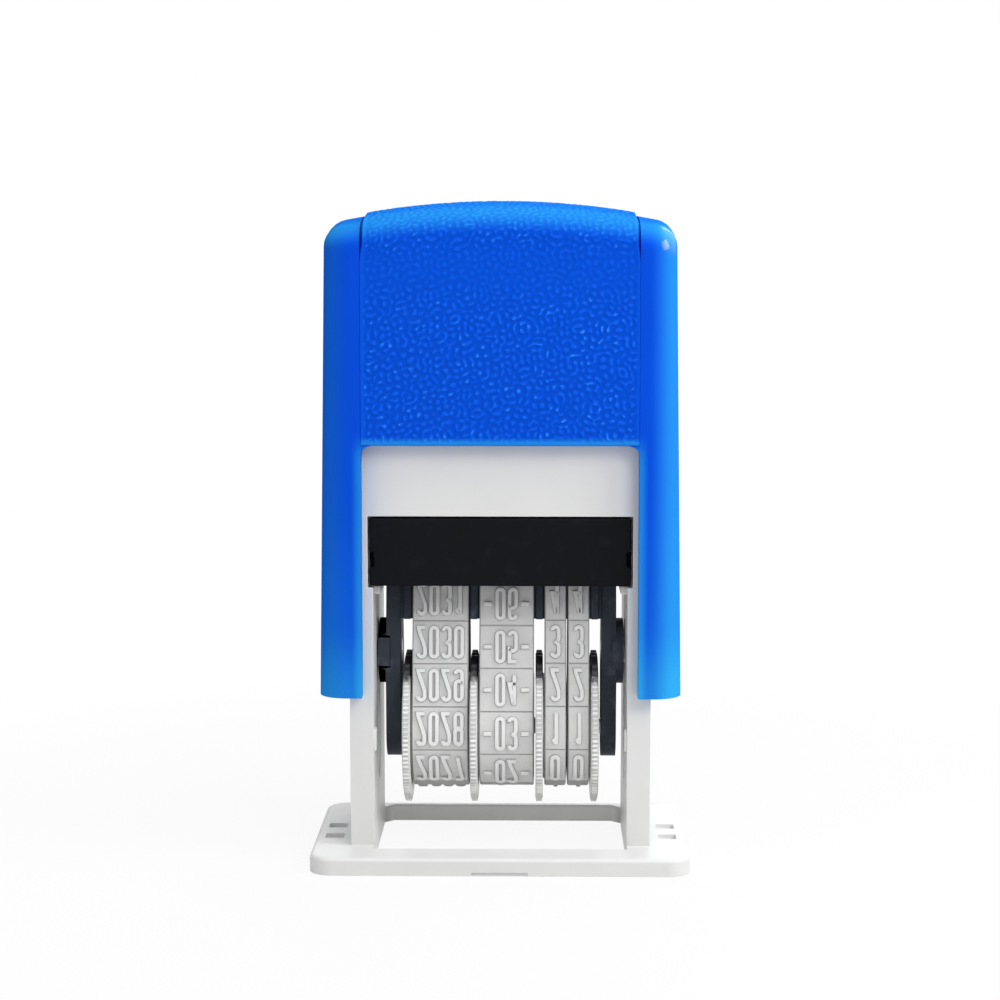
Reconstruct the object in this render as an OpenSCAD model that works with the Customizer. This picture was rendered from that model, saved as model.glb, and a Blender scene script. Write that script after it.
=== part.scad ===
// Self-inking date stamp, millimetres.
// Origin: middle of the base's underside. +Z up, front of the stamp towards -Y.
// At rest the cap is up, the type lies against the ink pad and the date wheels hang below.

/* [Date wheels] */
// Width of the year band
year_band_w = 6.8; // [5:0.1:9]
// Width of the month band
month_band_w = 6.6; // [5:0.1:9]
// Width of each of the two day bands
day_band_w = 2.6; // [1.8:0.1:4]
// Thickness of a rubber band without its type
band_t = 0.7; // [0.5:0.05:1]
// Inner radius of a band where it runs round its drum
band_r = 6.6; // [5.5:0.05:6.8]
// Height of the raised type above its band
type_relief = 0.5; // [0.3:0.05:0.8]
// Height of a character, along the band
type_size = 4; // [3:0.1:4.6]
// Distance from one character to the next, along the band
type_pitch = 5.2; // [5:0.05:5.4]
// Number of characters on a band
type_count = 12; // [8:1:12]
// Radius of a thumb disc
disc_r = 9.3; // [8.6:0.1:10]
// Thickness of a thumb disc
disc_t = 0.9; // [0.6:0.1:1.5]
// Gap between neighbours on the wheel shaft
side_gap = 0.2; // [0.15:0.05:0.4]
// Radius of the wheel shaft
shaft_r = 1; // [0.8:0.05:1.6]
// Height of the thumb discs above the table
disc_lift = 5.5; // [4.5:0.1:8]

/* [Carriage] */
// Drop from the flip pivot to the wheel shaft
shaft_drop = 9.4; // [9:0.1:10.5]
// Height of the printing face above the flip pivot
type_h = 9.8; // [9.4:0.1:10.5]
// Half the depth of the platen's flat nose
nose_half = 1.9; // [1.7:0.1:2.4]
// Radius of the platen's nose edges
nose_r = 0.6; // [0.4:0.05:1]
// Gap between the thumb discs and the platen above them
platen_gap = 4.5; // [1:0.1:5]
// Thickness of a side cheek
cheek_t = 1.8; // [1.2:0.1:2.5]
// Gap between a cheek and the nearest thumb disc
cheek_gap = 0.4; // [0.3:0.05:1]
// Half the depth of a cheek's top edge
cheek_top_half = 2.2; // [1.8:0.1:3]
// Radius of a cheek's round foot
cheek_foot_r = 3.7; // [2.2:0.1:4]
// Radius of a pivot hub
hub_r = 4; // [3:0.05:4.5]
// Length of a pivot hub, outboard of its cheek
hub_t = 0.9; // [0.7:0.1:1.5]
// Radius of a pivot pin
pin_r = 1.5; // [1.2:0.05:1.8]
// Length of a pivot pin inside the cap's wall
pin_in_cap = 1.8; // [1.4:0.1:2.2]
// Outer radius of a shaft clip
clip_r = 2; // [1.7:0.1:2.4]
// Thickness of a shaft clip
clip_t = 0.4; // [0.3:0.05:0.45]
// Depth of the recess that a clip sits in, in its cheek
clip_recess = 0.7; // [0.65:0.05:0.8]

/* [Frame and base] */
// Depth of the frame, front to back
frame_d = 19.4; // [18:0.1:24]
// Width of a frame post, seen from the front
post_w = 2.8; // [2.6:0.1:4]
// Depth of a frame post
post_d = 3.2; // [2.5:0.1:4.5]
// Thickness of the web between the posts of one side
web_t = 1.6; // [1.2:0.1:2.2]
// Thickness of the frame's front and rear panels
panel_t = 1.6; // [1.2:0.1:2]
// Thickness of the roof over the ink tray
roof_t = 1.6; // [1.2:0.1:2.5]
// Thickness of the base plate
base_t = 2.1; // [1.6:0.1:3]
// Width of the base plate, which is the width of the stamp
base_w = 45; // [43.4:0.1:56]
// Reach of the base plate in front of the frame
base_front = 6; // [4:0.1:10]
// Reach of the base plate behind the frame
base_rear = 2.6; // [2.4:0.1:6]
// Radius of the base's corners, seen from above
base_corner_r = 2.7; // [1:0.1:3.5]
// Reach of the paper window in front of the frame
window_front = 1.4; // [0.8:0.1:3]
// Reach of the paper window behind the frame
window_rear = 1.3; // [0.8:0.1:1.8]
// Chamfer in the rear corners of the paper window
window_chamfer = 1.2; // [0.5:0.1:2]
// Side of a square clip slot in the base
clip_slot = 2.2; // [1.5:0.1:2.6]
// Depth of a clip slot
clip_slot_depth = 0.5; // [0.4:0.1:1.4]
// Distance between the two clip slots of one side
clip_slot_pitch = 5; // [3.5:0.1:7]
// Width of the finger lift under the base's front edge
lift_w = 6.6; // [4:0.1:12]
// Height of the finger lift
lift_h = 0.4; // [0.3:0.1:0.9]
// Depth of the finger lift
lift_d = 1.6; // [0.8:0.1:2.5]

/* [Ink cartridge] */
// Height of the ink tray
tray_h = 8.1; // [7.2:0.1:10]
// Thickness of the tray's front plate
tray_front_t = 1.4; // [1:0.1:2]
// Thickness of the tray's walls
tray_wall = 1.5; // [1:0.1:2]
// Overlap of the front plate on each frame post
tray_lip = 0.4; // [0.3:0.1:1]
// Height of the tray's rim below the pad's face
tray_rim = 0.8; // [0.4:0.1:0.9]
// Height of a finger notch in the front plate's edge
notch_h = 1.8; // [1.2:0.1:3]
// Width of a finger notch
notch_w = 0.5; // [0.3:0.1:0.55]
// Thickness of the ink pad
pad_t = 4.5; // [3.5:0.1:5.2]

/* [Cap] */
// Height of the whole stamp with its cap up
stamp_h = 79; // [74:0.5:95]
// Thickness of the cap's side walls at their foot
cap_side_t = 3.4; // [2.8:0.1:4.5]
// How much narrower each side is at the top than at the foot
cap_draft = 0.8; // [0:0.1:1]
// Thickness of the cap's front and rear walls
cap_front_t = 1.9; // [1.6:0.1:3]
// Thickness of the cap's top at its middle
cap_top_t = 4; // [3.6:0.1:6]
// Length of the cap's legs below the flip pivot
leg_drop = 3.8; // [2.5:0.1:6]
// Radius of the arched top, seen from the front
arch_r = 97; // [80:1:140]
// Radius of the top's crown, seen from the side
crown_r = 46; // [38:1:80]
// Radius of the front and rear edges of the top
top_edge_r = 2.6; // [0.8:0.1:2.8]
// Radius of the outer top corners, seen from the front
top_corner_r = 2; // [1:0.1:2.6]
// Radius of the cap's upright corners
cap_corner_r = 3.4; // [3:0.1:3.8]
// Width of the leg's face that the front window leaves beside the frame
leg_overlap = 1.8; // [1.6:0.1:2.4]
// Height of the windows above the ink tray
window_rise = 8.7; // [6:0.1:14]
// Radius of the windows' upper corners
window_corner_r = 1.2; // [0.5:0.1:3]
// Thickness of the grained grip cover
grip_t = 0.8; // [0.6:0.1:1]
// Step from the grip cover down to the side rails, on top
rail_step = 0.45; // [0.2:0.05:0.8]

/* [Return spring] */
// Mean radius of the spring
spring_r = 4.8; // [4.5:0.1:5.4]
// Diameter of the spring wire
wire_d = 1; // [0.6:0.05:1.1]
// Number of turns between the closed end turns
open_turns = 9; // [6:1:11]
// Radius of the two spigots that hold the spring
spigot_r = 3.6; // [3:0.1:3.8]
// Length of each spigot
spigot_h = 4.5; // [2:0.1:6]

/* [Fits] */
// Running clearance of a pin or shaft in its bore, on the radius
run_clear = 0.05; // [0.02:0.01:0.1]
// Clearance of a fixed pin or peg in its seat
seat_clear = 0.01; // [0:0.005:0.02]
// Clearance between a drum and its band, on the radius
drum_clear = 0.15; // [0.1:0.05:0.3]
// Clearance between the frame's wall and the carriage's hub
wall_clear = 0.2; // [0.15:0.05:0.6]
// Clearance of a pivot pin in the frame's upright slot, each side
slot_clear = 0.15; // [0.1:0.05:0.3]
// Clearance between the cap and the frame's sides
cap_clear = 0.2; // [0.15:0.05:0.4]
// Clearance between the cap and the frame's front and rear
cap_clear_y = 0.4; // [0.3:0.05:0.8]
// Clearance under the cap's ceiling with the cap pressed
stop_clear = 1.1; // [0.5:0.1:3]
// Clearance round the ink tray in the frame
tray_clear = 0.2; // [0.15:0.05:0.4]
// Gap between the printing face and the ink pad
pad_gap = 0.3; // [0.25:0.05:0.6]

/* [Hidden] */
$fn = 96;
eps = 0.01;
far = 200;
over = 1;
quarter = 90;

// Colours
cap_blue = [0.04, 0.36, 0.84];
frame_white = [0.88, 0.88, 0.87];
part_black = [0.07, 0.07, 0.08];
band_grey = [0.78, 0.78, 0.77];
disc_white = [0.92, 0.92, 0.91];
steel_grey = [0.62, 0.63, 0.65];
pad_ink = [0.09, 0.08, 0.12];

// Places across the stamp, from the wheel shaft outwards
stack_w = 4 * disc_t + year_band_w + month_band_w + 2 * day_band_w + 7 * side_gap;
year_disc_x = -stack_w / 2;
year_band_x = year_disc_x + disc_t + side_gap;
month_disc_x = year_band_x + year_band_w + side_gap;
month_band_x = month_disc_x + disc_t + side_gap;
tens_disc_x = month_band_x + month_band_w + side_gap;
tens_band_x = tens_disc_x + disc_t + side_gap;
units_band_x = tens_band_x + day_band_w + side_gap;
units_disc_x = units_band_x + day_band_w + side_gap;
cheek_in = stack_w / 2 + cheek_gap;
cheek_out = cheek_in + cheek_t;
hub_out = cheek_out + hub_t;
frame_in = hub_out + wall_clear;
frame_out = frame_in + post_w;
cap_in = frame_out + cap_clear;
cap_foot_half = cap_in + cap_side_t;
cap_top_half = cap_foot_half - cap_draft;
corner_steps = 6;
edge_steps = 8;
window_half = cap_in - leg_overlap;

// Places front to back
base_d = base_front + frame_d + base_rear;
frame_y = (base_front - base_rear) / 2;
frame_front = frame_y - frame_d / 2;
frame_rear = frame_y + frame_d / 2;
cap_in_half_d = frame_d / 2 + cap_clear_y;
cap_half_d = cap_in_half_d + cap_front_t;

// Heights
shaft_z = disc_lift + disc_r;
pivot_z = shaft_z + shaft_drop;
travel = pivot_z - type_h;
pad_z = pivot_z + type_h + pad_gap;
tray_z = pad_z - tray_rim;
tray_top = tray_z + tray_h;
roof_z = tray_top + tray_clear;
seat_z = roof_z + roof_t;
ceiling_z = stamp_h - cap_top_t;
frame_top = ceiling_z - travel - stop_clear;
cap_foot = pivot_z - leg_drop;
window_top = tray_top + window_rise;

// Band loop, seen from the side with the wheel shaft at the origin
nose_z = shaft_drop + type_h - type_relief - band_t - nose_r;
nose_reach = norm([nose_half, nose_z]);
loop_tilt = atan2(nose_z, nose_half) - acos((band_r - nose_r) / nose_reach);
loop_straight = sqrt(pow(nose_reach, 2) - pow(band_r - nose_r, 2));
nose_arc = (nose_r + band_t) * (90 - loop_tilt) * PI / 180;
platen_z = disc_r + platen_gap;
type_sink = 0.45;
type_margin = 0.3;

// Flip lugs on the frame's inner walls, level with the wheel shaft
lug_h = 2.6;
lug_d = 2;
lug_reach = 0.3;

// Ledges that the ink tray slides on
ledge_h = 1;
ledge_gap = 0.3;

// Points of an arc about c from angle a0 to a1
function arc(c, r, a0, a1, steps) =
    [for (i = [0:steps]) let (a = a0 + (a1 - a0) * i / steps) [c.x + r * cos(a), c.y + r * sin(a)]];

// Closed outline of the band loop, t outside the band's inner face
function loop_outline(t) = concat(
    arc([0, 0], band_r + t, 180 - loop_tilt, 360 + loop_tilt, 40),
    arc([nose_half, nose_z], nose_r + t, loop_tilt, 90, 6),
    arc([-nose_half, nose_z], nose_r + t, 90, 180 - loop_tilt, 6));

// Place on the band's outer face, s along it from the middle of the nose: [y, z, angle of the normal]
function loop_place(s) = s < 0 ? mirrored(loop_place(-s))
    : s < nose_half ? [s, nose_z + nose_r + band_t, 90]
    : s < nose_half + nose_arc ? on_nose(90 - (s - nose_half) / nose_arc * (90 - loop_tilt))
    : s < nose_half + nose_arc + loop_straight ? on_straight(s - nose_half - nose_arc)
    : on_drum(loop_tilt - (s - nose_half - nose_arc - loop_straight) / (band_r + band_t) * 180 / PI);
function mirrored(p) = [-p[0], p[1], 180 - p[2]];
function on_nose(a) =
    [nose_half + (nose_r + band_t) * cos(a), nose_z + (nose_r + band_t) * sin(a), a];
function on_straight(s) =
    let (start = on_nose(loop_tilt))
    [start[0] + s * sin(loop_tilt), start[1] - s * cos(loop_tilt), loop_tilt];
function on_drum(a) = [(band_r + band_t) * cos(a), (band_r + band_t) * sin(a), a];

// Lays a side-view outline (y, z) across the stamp, from x to x + w
module across(x, w) {
    translate([x, 0, 0])
        rotate([90, 0, 90])
            linear_extrude(w)
                children();
}

// The same, in the carriage's own frame with the wheel shaft at the origin
module on_shaft(x, w) {
    translate([0, frame_y, shaft_z])
        across(x, w)
            children();
}

// Round bar along X
module bar_x(x, w, r, z) {
    translate([x, frame_y, z])
        rotate([0, 90, 0])
            cylinder(r = r, h = w);
}

// Upright bar
module bar_z(r, z0, z1) {
    translate([0, frame_y, z0])
        cylinder(r = r, h = z1 - z0);
}

// Box between two corners
module block(low, high) {
    translate(low)
        cube(high - low);
}

// The same on both sides of the stamp
module both_sides() {
    children();
    mirror([1, 0, 0])
        children();
}

// Rectangle with round corners, centred
module rounded_rect(w, d, r) {
    square([w - 2 * r, d], center = true);
    square([w, d - 2 * r], center = true);
    for (x = [-1, 1], y = [-1, 1])
        translate([x * (w / 2 - r), y * (d / 2 - r)])
            circle(r);
}

// Base and frame

module paper_window() {
    y0 = frame_front - window_front;
    y1 = frame_rear + window_rear;
    polygon([[-frame_in, y0], [frame_in, y0],
        [frame_in, y1 - window_chamfer], [frame_in - window_chamfer, y1],
        [window_chamfer - frame_in, y1], [-frame_in, y1 - window_chamfer]]);
}

module base_plate() {
    linear_extrude(base_t)
        difference() {
            rounded_rect(base_w, base_d, base_corner_r);
            paper_window();
        }
}

module clip_slots() {
    slot_x = (frame_out + base_w / 2) / 2;
    for (y = [frame_y, frame_y - clip_slot_pitch])
        translate([slot_x, y, base_t - clip_slot_depth / 2 + eps])
            cube([clip_slot, clip_slot, clip_slot_depth + 2 * eps], center = true);
}

module finger_lift() {
    front = -base_d / 2;
    block([-lift_w / 2, front - over, -over], [lift_w / 2, front + lift_d, lift_h]);
}

module side_wall() {
    z0 = base_t - eps;
    block([frame_in, frame_front, z0], [frame_in + web_t, frame_rear, frame_top]);
    block([frame_in, frame_front, z0], [frame_out, frame_front + post_d, frame_top]);
    block([frame_in, frame_rear - post_d, z0], [frame_out, frame_rear, frame_top]);
}

module tray_ledge() {
    ledge_top = tray_z - tray_clear;
    block([cheek_out + ledge_gap, frame_front + tray_front_t + tray_clear, ledge_top - ledge_h],
        [frame_in + eps, frame_rear, ledge_top]);
}

module flip_lug() {
    block([frame_in - lug_reach, frame_front, shaft_z - lug_h / 2],
        [frame_in + eps, frame_front + lug_d, shaft_z + lug_h / 2]);
}

// Upright slot that the pivot pin travels in
module pin_slot() {
    r = pin_r + slot_clear;
    bar_x(frame_in - eps, post_w, r, pivot_z);
    bar_x(frame_in - eps, post_w, r, pivot_z - travel);
    block([frame_in - eps, frame_y - r, pivot_z - travel],
        [frame_in + post_w - eps, frame_y + r, pivot_z]);
}

// Recess in a front post for the tray's front plate
module tray_recess() {
    block([frame_in - eps, frame_front - eps, tray_z - tray_clear],
        [frame_in + tray_lip + tray_clear, frame_front + tray_front_t + tray_clear, roof_z]);
}

module base_frame() {
    panel_half = frame_in + eps;
    color(frame_white)
        difference() {
            union() {
                base_plate();
                both_sides() {
                    side_wall();
                    tray_ledge();
                    flip_lug();
                }
                block([-panel_half, frame_front, roof_z], [panel_half, frame_front + panel_t, frame_top]);
                block([-panel_half, frame_rear - panel_t, tray_z], [panel_half, frame_rear, frame_top]);
                block([-panel_half, frame_front + eps, roof_z], [panel_half, frame_rear - eps, seat_z]);
                bar_z(spigot_r, seat_z - eps, seat_z + spigot_h);
            }
            finger_lift();
            both_sides() {
                clip_slots();
                pin_slot();
                tray_recess();
            }
        }
}

// Cap and grip cover

// Height of the crowned top above a place on it
function top_z(x, y, drop) = stamp_h - drop - x * x / (2 * arch_r) - y * y / (2 * crown_r);

// Radius of the top's edge where it faces the angle a: the side corners and the front edge differ
function edge_r(a) = top_corner_r * pow(cos(a), 2) + top_edge_r * pow(sin(a), 2);

// Axes of the four upright corners, counted round from the right rear
function corner_axes(half_w, half_d) =
    let (w = half_w - cap_corner_r, d = half_d - cap_corner_r)
    [[w, d], [-w, d], [-w, -d], [w, -d]];

// Points of a ring round one corner and along the edge after it, before its radius: [x, y, way it faces]
function ring_side(axes, side, steps) =
    let (p = axes[side], q = axes[(side + 1) % 4], facing = quarter * side)
    concat(
        [for (i = [0:corner_steps]) [p.x, p.y, facing + quarter * i / corner_steps]],
        [for (i = [1:1:steps - 1]) let (t = i / steps)
            [p.x + (q.x - p.x) * t, p.y + (q.y - p.y) * t, facing + quarter]]);

// Ring of the cap's outside, half_w by half_d, drawn in by the edge's rounding at roll
function cap_ring(half_w, half_d, roll, steps) =
    [for (side = [0:3], p = ring_side(corner_axes(half_w, half_d), side, steps))
        let (r = cap_corner_r - edge_r(p.z) * (1 - cos(roll)))
        [p.x + r * cos(p.z), p.y + r * sin(p.z), p.z]];

// Points of the cap's outside, its top lowered by drop and its front and rear set in by inset
function cap_points(drop, inset) =
    let (half_d = cap_half_d - inset,
        flat_w = cap_top_half - top_corner_r,
        flat_d = half_d - top_edge_r)
    concat(
        [for (p = cap_ring(cap_foot_half, half_d, 0, 1)) [p.x, p.y, cap_foot]],
        [for (roll = [0, 30, 60, 90], p = cap_ring(cap_top_half, half_d, roll, edge_steps))
            [p.x, p.y, top_z(p.x, p.y, drop) - edge_r(p.z) * (1 - sin(roll))]],
        [for (u = [-0.8:0.2:0.8], v = [-0.75:0.25:0.75])
            [u * flat_w, v * flat_d, top_z(u * flat_w, v * flat_d, drop)]]);

// Outside of the cap as one convex shell
module cap_form(drop, inset) {
    points = cap_points(drop, inset);
    translate([0, frame_y, 0])
        hull()
            polyhedron(points, [[for (i = [0:len(points) - 1]) i]]);
}

// Between the two seams of the grip cover
module between_seams() {
    block([-window_half, -far, cap_foot - over], [window_half, far, far]);
}

// Front and rear windows, cut right through
module windows() {
    h = window_top - cap_foot + 2 * window_corner_r;
    translate([0, far / 2, window_top - h / 2])
        rotate([90, 0, 0])
            linear_extrude(far)
                rounded_rect(2 * window_half, h, window_corner_r);
}

module cap_shell() {
    color(cap_blue)
        difference() {
            union() {
                difference() {
                    union() {
                        difference() {
                            cap_form(rail_step, 0);
                            between_seams();
                        }
                        intersection() {
                            cap_form(grip_t, grip_t);
                            block([-window_half - eps, -far, cap_foot], [window_half + eps, far, far]);
                        }
                    }
                    block([-cap_in, frame_y - cap_in_half_d, cap_foot - over],
                        [cap_in, frame_y + cap_in_half_d, ceiling_z]);
                }
                bar_z(spigot_r, ceiling_z - spigot_h, ceiling_z + eps);
            }
            windows();
            both_sides()
                bar_x(cap_in - eps, pin_in_cap + run_clear, pin_r + run_clear, pivot_z);
        }
}

module grip_cover() {
    color(cap_blue)
        difference() {
            intersection() {
                cap_form(0, 0);
                block([-window_half, -far, window_top], [window_half, far, far]);
            }
            cap_form(grip_t, grip_t);
        }
}

// Return spring: one wire, with a closed turn at each end

spring_turns = open_turns + 2;
ring_count = spring_turns * 8;
closed_gap = 0.5;
closed_pitch = wire_d + closed_gap;
spring_foot = seat_z + wire_d / 2 + run_clear;
spring_head = ceiling_z - wire_d / 2 - run_clear;
open_pitch = (spring_head - spring_foot - 2 * closed_pitch) / open_turns;

function wire_z(turn) = spring_foot + closed_pitch * min(turn, 1)
    + open_pitch * max(0, min(turn - 1, open_turns))
    + closed_pitch * max(0, turn - 1 - open_turns);
function wire_point(i) =
    let (a = 45 * i)
    [spring_r * cos(a), frame_y + spring_r * sin(a), wire_z(i / 8)];
function wire_ring(i) =
    let (a = 45 * i, c = wire_point(i))
    [for (k = [0:5]) c + wire_d / 2 * [cos(a) * cos(60 * k), sin(a) * cos(60 * k), sin(60 * k)]];
wire_points = [for (i = [0:ring_count]) wire_point(i)];
spring_least_gap = min([for (i = [0:ring_count - 4], j = [i + 4:ring_count])
    norm(wire_points[i] - wire_points[j]) - wire_d]);
echo(spring_least_gap = spring_least_gap);

module return_spring() {
    points = [for (i = [0:ring_count]) each wire_ring(i)];
    last = ring_count * 6;
    sides = [for (i = [0:ring_count - 1], k = [0:5])
        let (a = 6 * i + k, b = 6 * i + (k + 1) % 6)
        each [[a, a + 6, b], [b, a + 6, b + 6]]];
    foot_cap = [for (k = [1:4]) [0, k, k + 1]];
    head_cap = [for (k = [1:4]) [last, last + k + 1, last + k]];
    color(steel_grey)
        polyhedron(points, concat(sides, foot_cap, head_cap));
}

// Ink cartridge

tray_half = frame_in - 2 * tray_clear;
tray_rear = frame_rear - panel_t - tray_clear;
pad_front = frame_front + tray_front_t;
pad_rear = tray_rear - tray_wall;

module ink_tray() {
    plate_half = frame_in + tray_lip;
    well_half = tray_half - tray_wall;
    notch_z = tray_z + tray_h / 2 - notch_h;
    color(part_black)
        difference() {
            union() {
                block([-plate_half, frame_front, tray_z], [plate_half, pad_front, tray_top]);
                block([-tray_half, pad_front - eps, tray_z], [tray_half, tray_rear, tray_top]);
            }
            block([-well_half, pad_front, tray_z - over], [well_half, pad_rear, pad_z + pad_t]);
            block([-well_half, pad_rear - over, tray_z - over],
                [well_half, tray_rear + over, pad_z + tray_clear]);
            both_sides()
                block([plate_half - notch_w, frame_front - over, notch_z],
                    [plate_half + over, pad_front - eps, notch_z + notch_h]);
        }
}

module ink_pad() {
    pad_half = tray_half - tray_wall - run_clear;
    color(pad_ink)
        block([-pad_half, pad_front + run_clear, pad_z], [pad_half, pad_rear - run_clear, pad_z + pad_t]);
}

// Carriage

tenon_half = 1.2;
tenon_rise = 0.5;
tenon_z = platen_z + tenon_rise;
tenon_h = 2.4;
cheek_drop = 1;
cheek_top = shaft_drop + type_h - type_relief - cheek_drop;
recess_clear = 0.3;
waist_inset = 0.4;
cheek_waist_half = hub_r - waist_inset;

module cheek_outline() {
    polygon(concat(arc([0, 0], cheek_foot_r, 180, 360, 24),
        [[cheek_waist_half, shaft_drop], [cheek_top_half, cheek_top],
            [-cheek_top_half, cheek_top], [-cheek_waist_half, shaft_drop]]));
}

// The right-hand cheek with its hub
module cheek() {
    color(part_black)
        difference() {
            union() {
                on_shaft(cheek_in, cheek_t)
                    cheek_outline();
                bar_x(cheek_out - eps, hub_t + eps, hub_r, pivot_z);
            }
            bar_x(cheek_in - over, cheek_t + hub_t + 2 * over, pin_r + seat_clear, pivot_z);
            bar_x(cheek_in - over, cheek_t + 2 * over, shaft_r + seat_clear, shaft_z);
            bar_x(cheek_out - clip_recess, clip_recess + over, clip_r + recess_clear, shaft_z);
            on_shaft(cheek_in - over, cheek_t + 2 * over)
                translate([-tenon_half - seat_clear, tenon_z - seat_clear])
                    square([2 * (tenon_half + seat_clear), tenon_h + 2 * seat_clear]);
        }
}

module right_cheek() {
    cheek();
}

module left_cheek() {
    mirror([1, 0, 0])
        cheek();
}

// Upper part of the band loop, t outside the band's inner face
module loop_top(t) {
    intersection() {
        polygon(loop_outline(t));
        translate([-far / 2, platen_z])
            square(far);
    }
}

// Block that the bands run over, with a divider above each thumb disc
module platen() {
    divider_t = band_t - type_margin;
    color(part_black) {
        on_shaft(-cheek_in, 2 * cheek_in)
            loop_top(-seat_clear);
        for (x = [year_disc_x, month_disc_x, tens_disc_x, units_disc_x])
            on_shaft(x, disc_t)
                loop_top(divider_t);
        on_shaft(-cheek_out, 2 * cheek_out)
            translate([-tenon_half, tenon_z])
                square([2 * tenon_half, tenon_h]);
    }
}

clip_groove = 0.25;
clip_groove_r = shaft_r - clip_groove;
clip_x = cheek_out - clip_recess + run_clear;
shaft_tip = 0.15;
shaft_end = clip_x + clip_t + shaft_tip;

module wheel_shaft() {
    color(steel_grey)
        difference() {
            bar_x(-shaft_end, 2 * shaft_end, shaft_r, shaft_z);
            both_sides()
                difference() {
                    bar_x(clip_x, clip_t, shaft_r + over, shaft_z);
                    bar_x(clip_x - over, clip_t + 2 * over, clip_groove_r, shaft_z);
                }
        }
}

module shaft_clips() {
    mouth = clip_groove_r - seat_clear;
    color(steel_grey)
        both_sides()
            difference() {
                bar_x(clip_x, clip_t, clip_r, shaft_z);
                bar_x(clip_x - over, clip_t + 2 * over, clip_groove_r + seat_clear, shaft_z);
                block([clip_x - over, frame_y - mouth, shaft_z - clip_r - over],
                    [clip_x + clip_t + over, frame_y + mouth, shaft_z]);
            }
}

module pivot_pin() {
    color(steel_grey)
        bar_x(cheek_in, cap_in + pin_in_cap - cheek_in, pin_r, pivot_z);
}

module right_pivot_pin() {
    pivot_pin();
}

module left_pivot_pin() {
    mirror([1, 0, 0])
        pivot_pin();
}

// Rubber band with its raised lines of type
module type_band(x, w) {
    color(band_grey)
        difference() {
            union() {
                on_shaft(x, w)
                    polygon(loop_outline(band_t));
                on_shaft(x + type_margin, w - 2 * type_margin)
                    for (i = [0:type_count - 1]) {
                        place = loop_place((i - floor((type_count - 1) / 2)) * type_pitch);
                        translate([place[0], place[1]])
                            rotate(place[2])
                                translate([-type_sink, -type_size / 2])
                                    square([type_sink + type_relief, type_size]);
                    }
            }
            on_shaft(x - over, w + 2 * over)
                polygon(loop_outline(0));
        }
}

module year_band() {
    type_band(year_band_x, year_band_w);
}

module month_band() {
    type_band(month_band_x, month_band_w);
}

module day_tens_band() {
    type_band(tens_band_x, day_band_w);
}

module day_units_band() {
    type_band(units_band_x, day_band_w);
}

// Thumb disc and the drum that drives its band, turning on the shaft
module date_wheel(disc_x, band_x, band_w) {
    drum_rim = side_gap / 4;
    drum_x0 = min(disc_x, band_x - drum_rim);
    drum_x1 = max(disc_x + disc_t, band_x + band_w + drum_rim);
    color(disc_white)
        difference() {
            union() {
                bar_x(disc_x, disc_t, disc_r, shaft_z);
                bar_x(drum_x0, drum_x1 - drum_x0, band_r - drum_clear, shaft_z);
            }
            bar_x(drum_x0 - over, drum_x1 - drum_x0 + 2 * over, shaft_r + run_clear, shaft_z);
        }
}

module year_wheel() {
    date_wheel(year_disc_x, year_band_x, year_band_w);
}

module month_wheel() {
    date_wheel(month_disc_x, month_band_x, month_band_w);
}

module day_tens_wheel() {
    date_wheel(tens_disc_x, tens_band_x, day_band_w);
}

module day_units_wheel() {
    date_wheel(units_disc_x, units_band_x, day_band_w);
}

base_frame();
cap_shell();
grip_cover();
return_spring();
ink_tray();
ink_pad();
left_cheek();
right_cheek();
platen();
wheel_shaft();
shaft_clips();
left_pivot_pin();
right_pivot_pin();
year_band();
month_band();
day_tens_band();
day_units_band();
year_wheel();
month_wheel();
day_tens_wheel();
day_units_wheel();
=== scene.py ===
"""Looks of a self-inking date stamp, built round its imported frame."""

import math
from contextlib import contextmanager

import bmesh
import bpy
from bpy.props import FloatProperty, FloatVectorProperty, IntProperty, PointerProperty
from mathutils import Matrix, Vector, noise


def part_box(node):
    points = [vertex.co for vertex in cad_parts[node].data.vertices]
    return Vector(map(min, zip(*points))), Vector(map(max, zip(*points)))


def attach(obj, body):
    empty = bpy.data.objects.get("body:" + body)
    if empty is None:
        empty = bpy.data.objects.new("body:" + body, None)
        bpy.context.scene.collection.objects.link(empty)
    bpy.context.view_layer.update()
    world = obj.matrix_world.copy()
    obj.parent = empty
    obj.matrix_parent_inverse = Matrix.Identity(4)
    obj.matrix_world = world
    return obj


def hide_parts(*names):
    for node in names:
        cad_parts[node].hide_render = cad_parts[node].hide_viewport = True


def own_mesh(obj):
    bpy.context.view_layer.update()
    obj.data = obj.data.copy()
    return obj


bl_info = {
    "name": "Self-inking date stamp",
    "version": (1, 0, 0),
    "blender": (4, 5, 0),
    "location": "View3D > Sidebar > Date stamp",
    "description": "Models the pieces of a self-inking date stamp round its packed frame",
    "category": "Add Mesh",
}

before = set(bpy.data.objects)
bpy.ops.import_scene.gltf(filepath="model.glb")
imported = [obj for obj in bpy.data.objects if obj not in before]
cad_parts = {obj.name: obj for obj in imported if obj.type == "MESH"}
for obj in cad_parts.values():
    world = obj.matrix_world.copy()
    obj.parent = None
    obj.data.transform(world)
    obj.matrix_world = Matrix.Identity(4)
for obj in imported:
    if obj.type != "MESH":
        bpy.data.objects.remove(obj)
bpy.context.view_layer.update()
MM = 0.001
SIDES = (-1, 1)

# Lengths in millimetres. A cutting tool reaches past what it cuts by OVER, or by FAR to cut right through.
OVER = 1.0
FAR = 40.0
SLIP = 0.01

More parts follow.
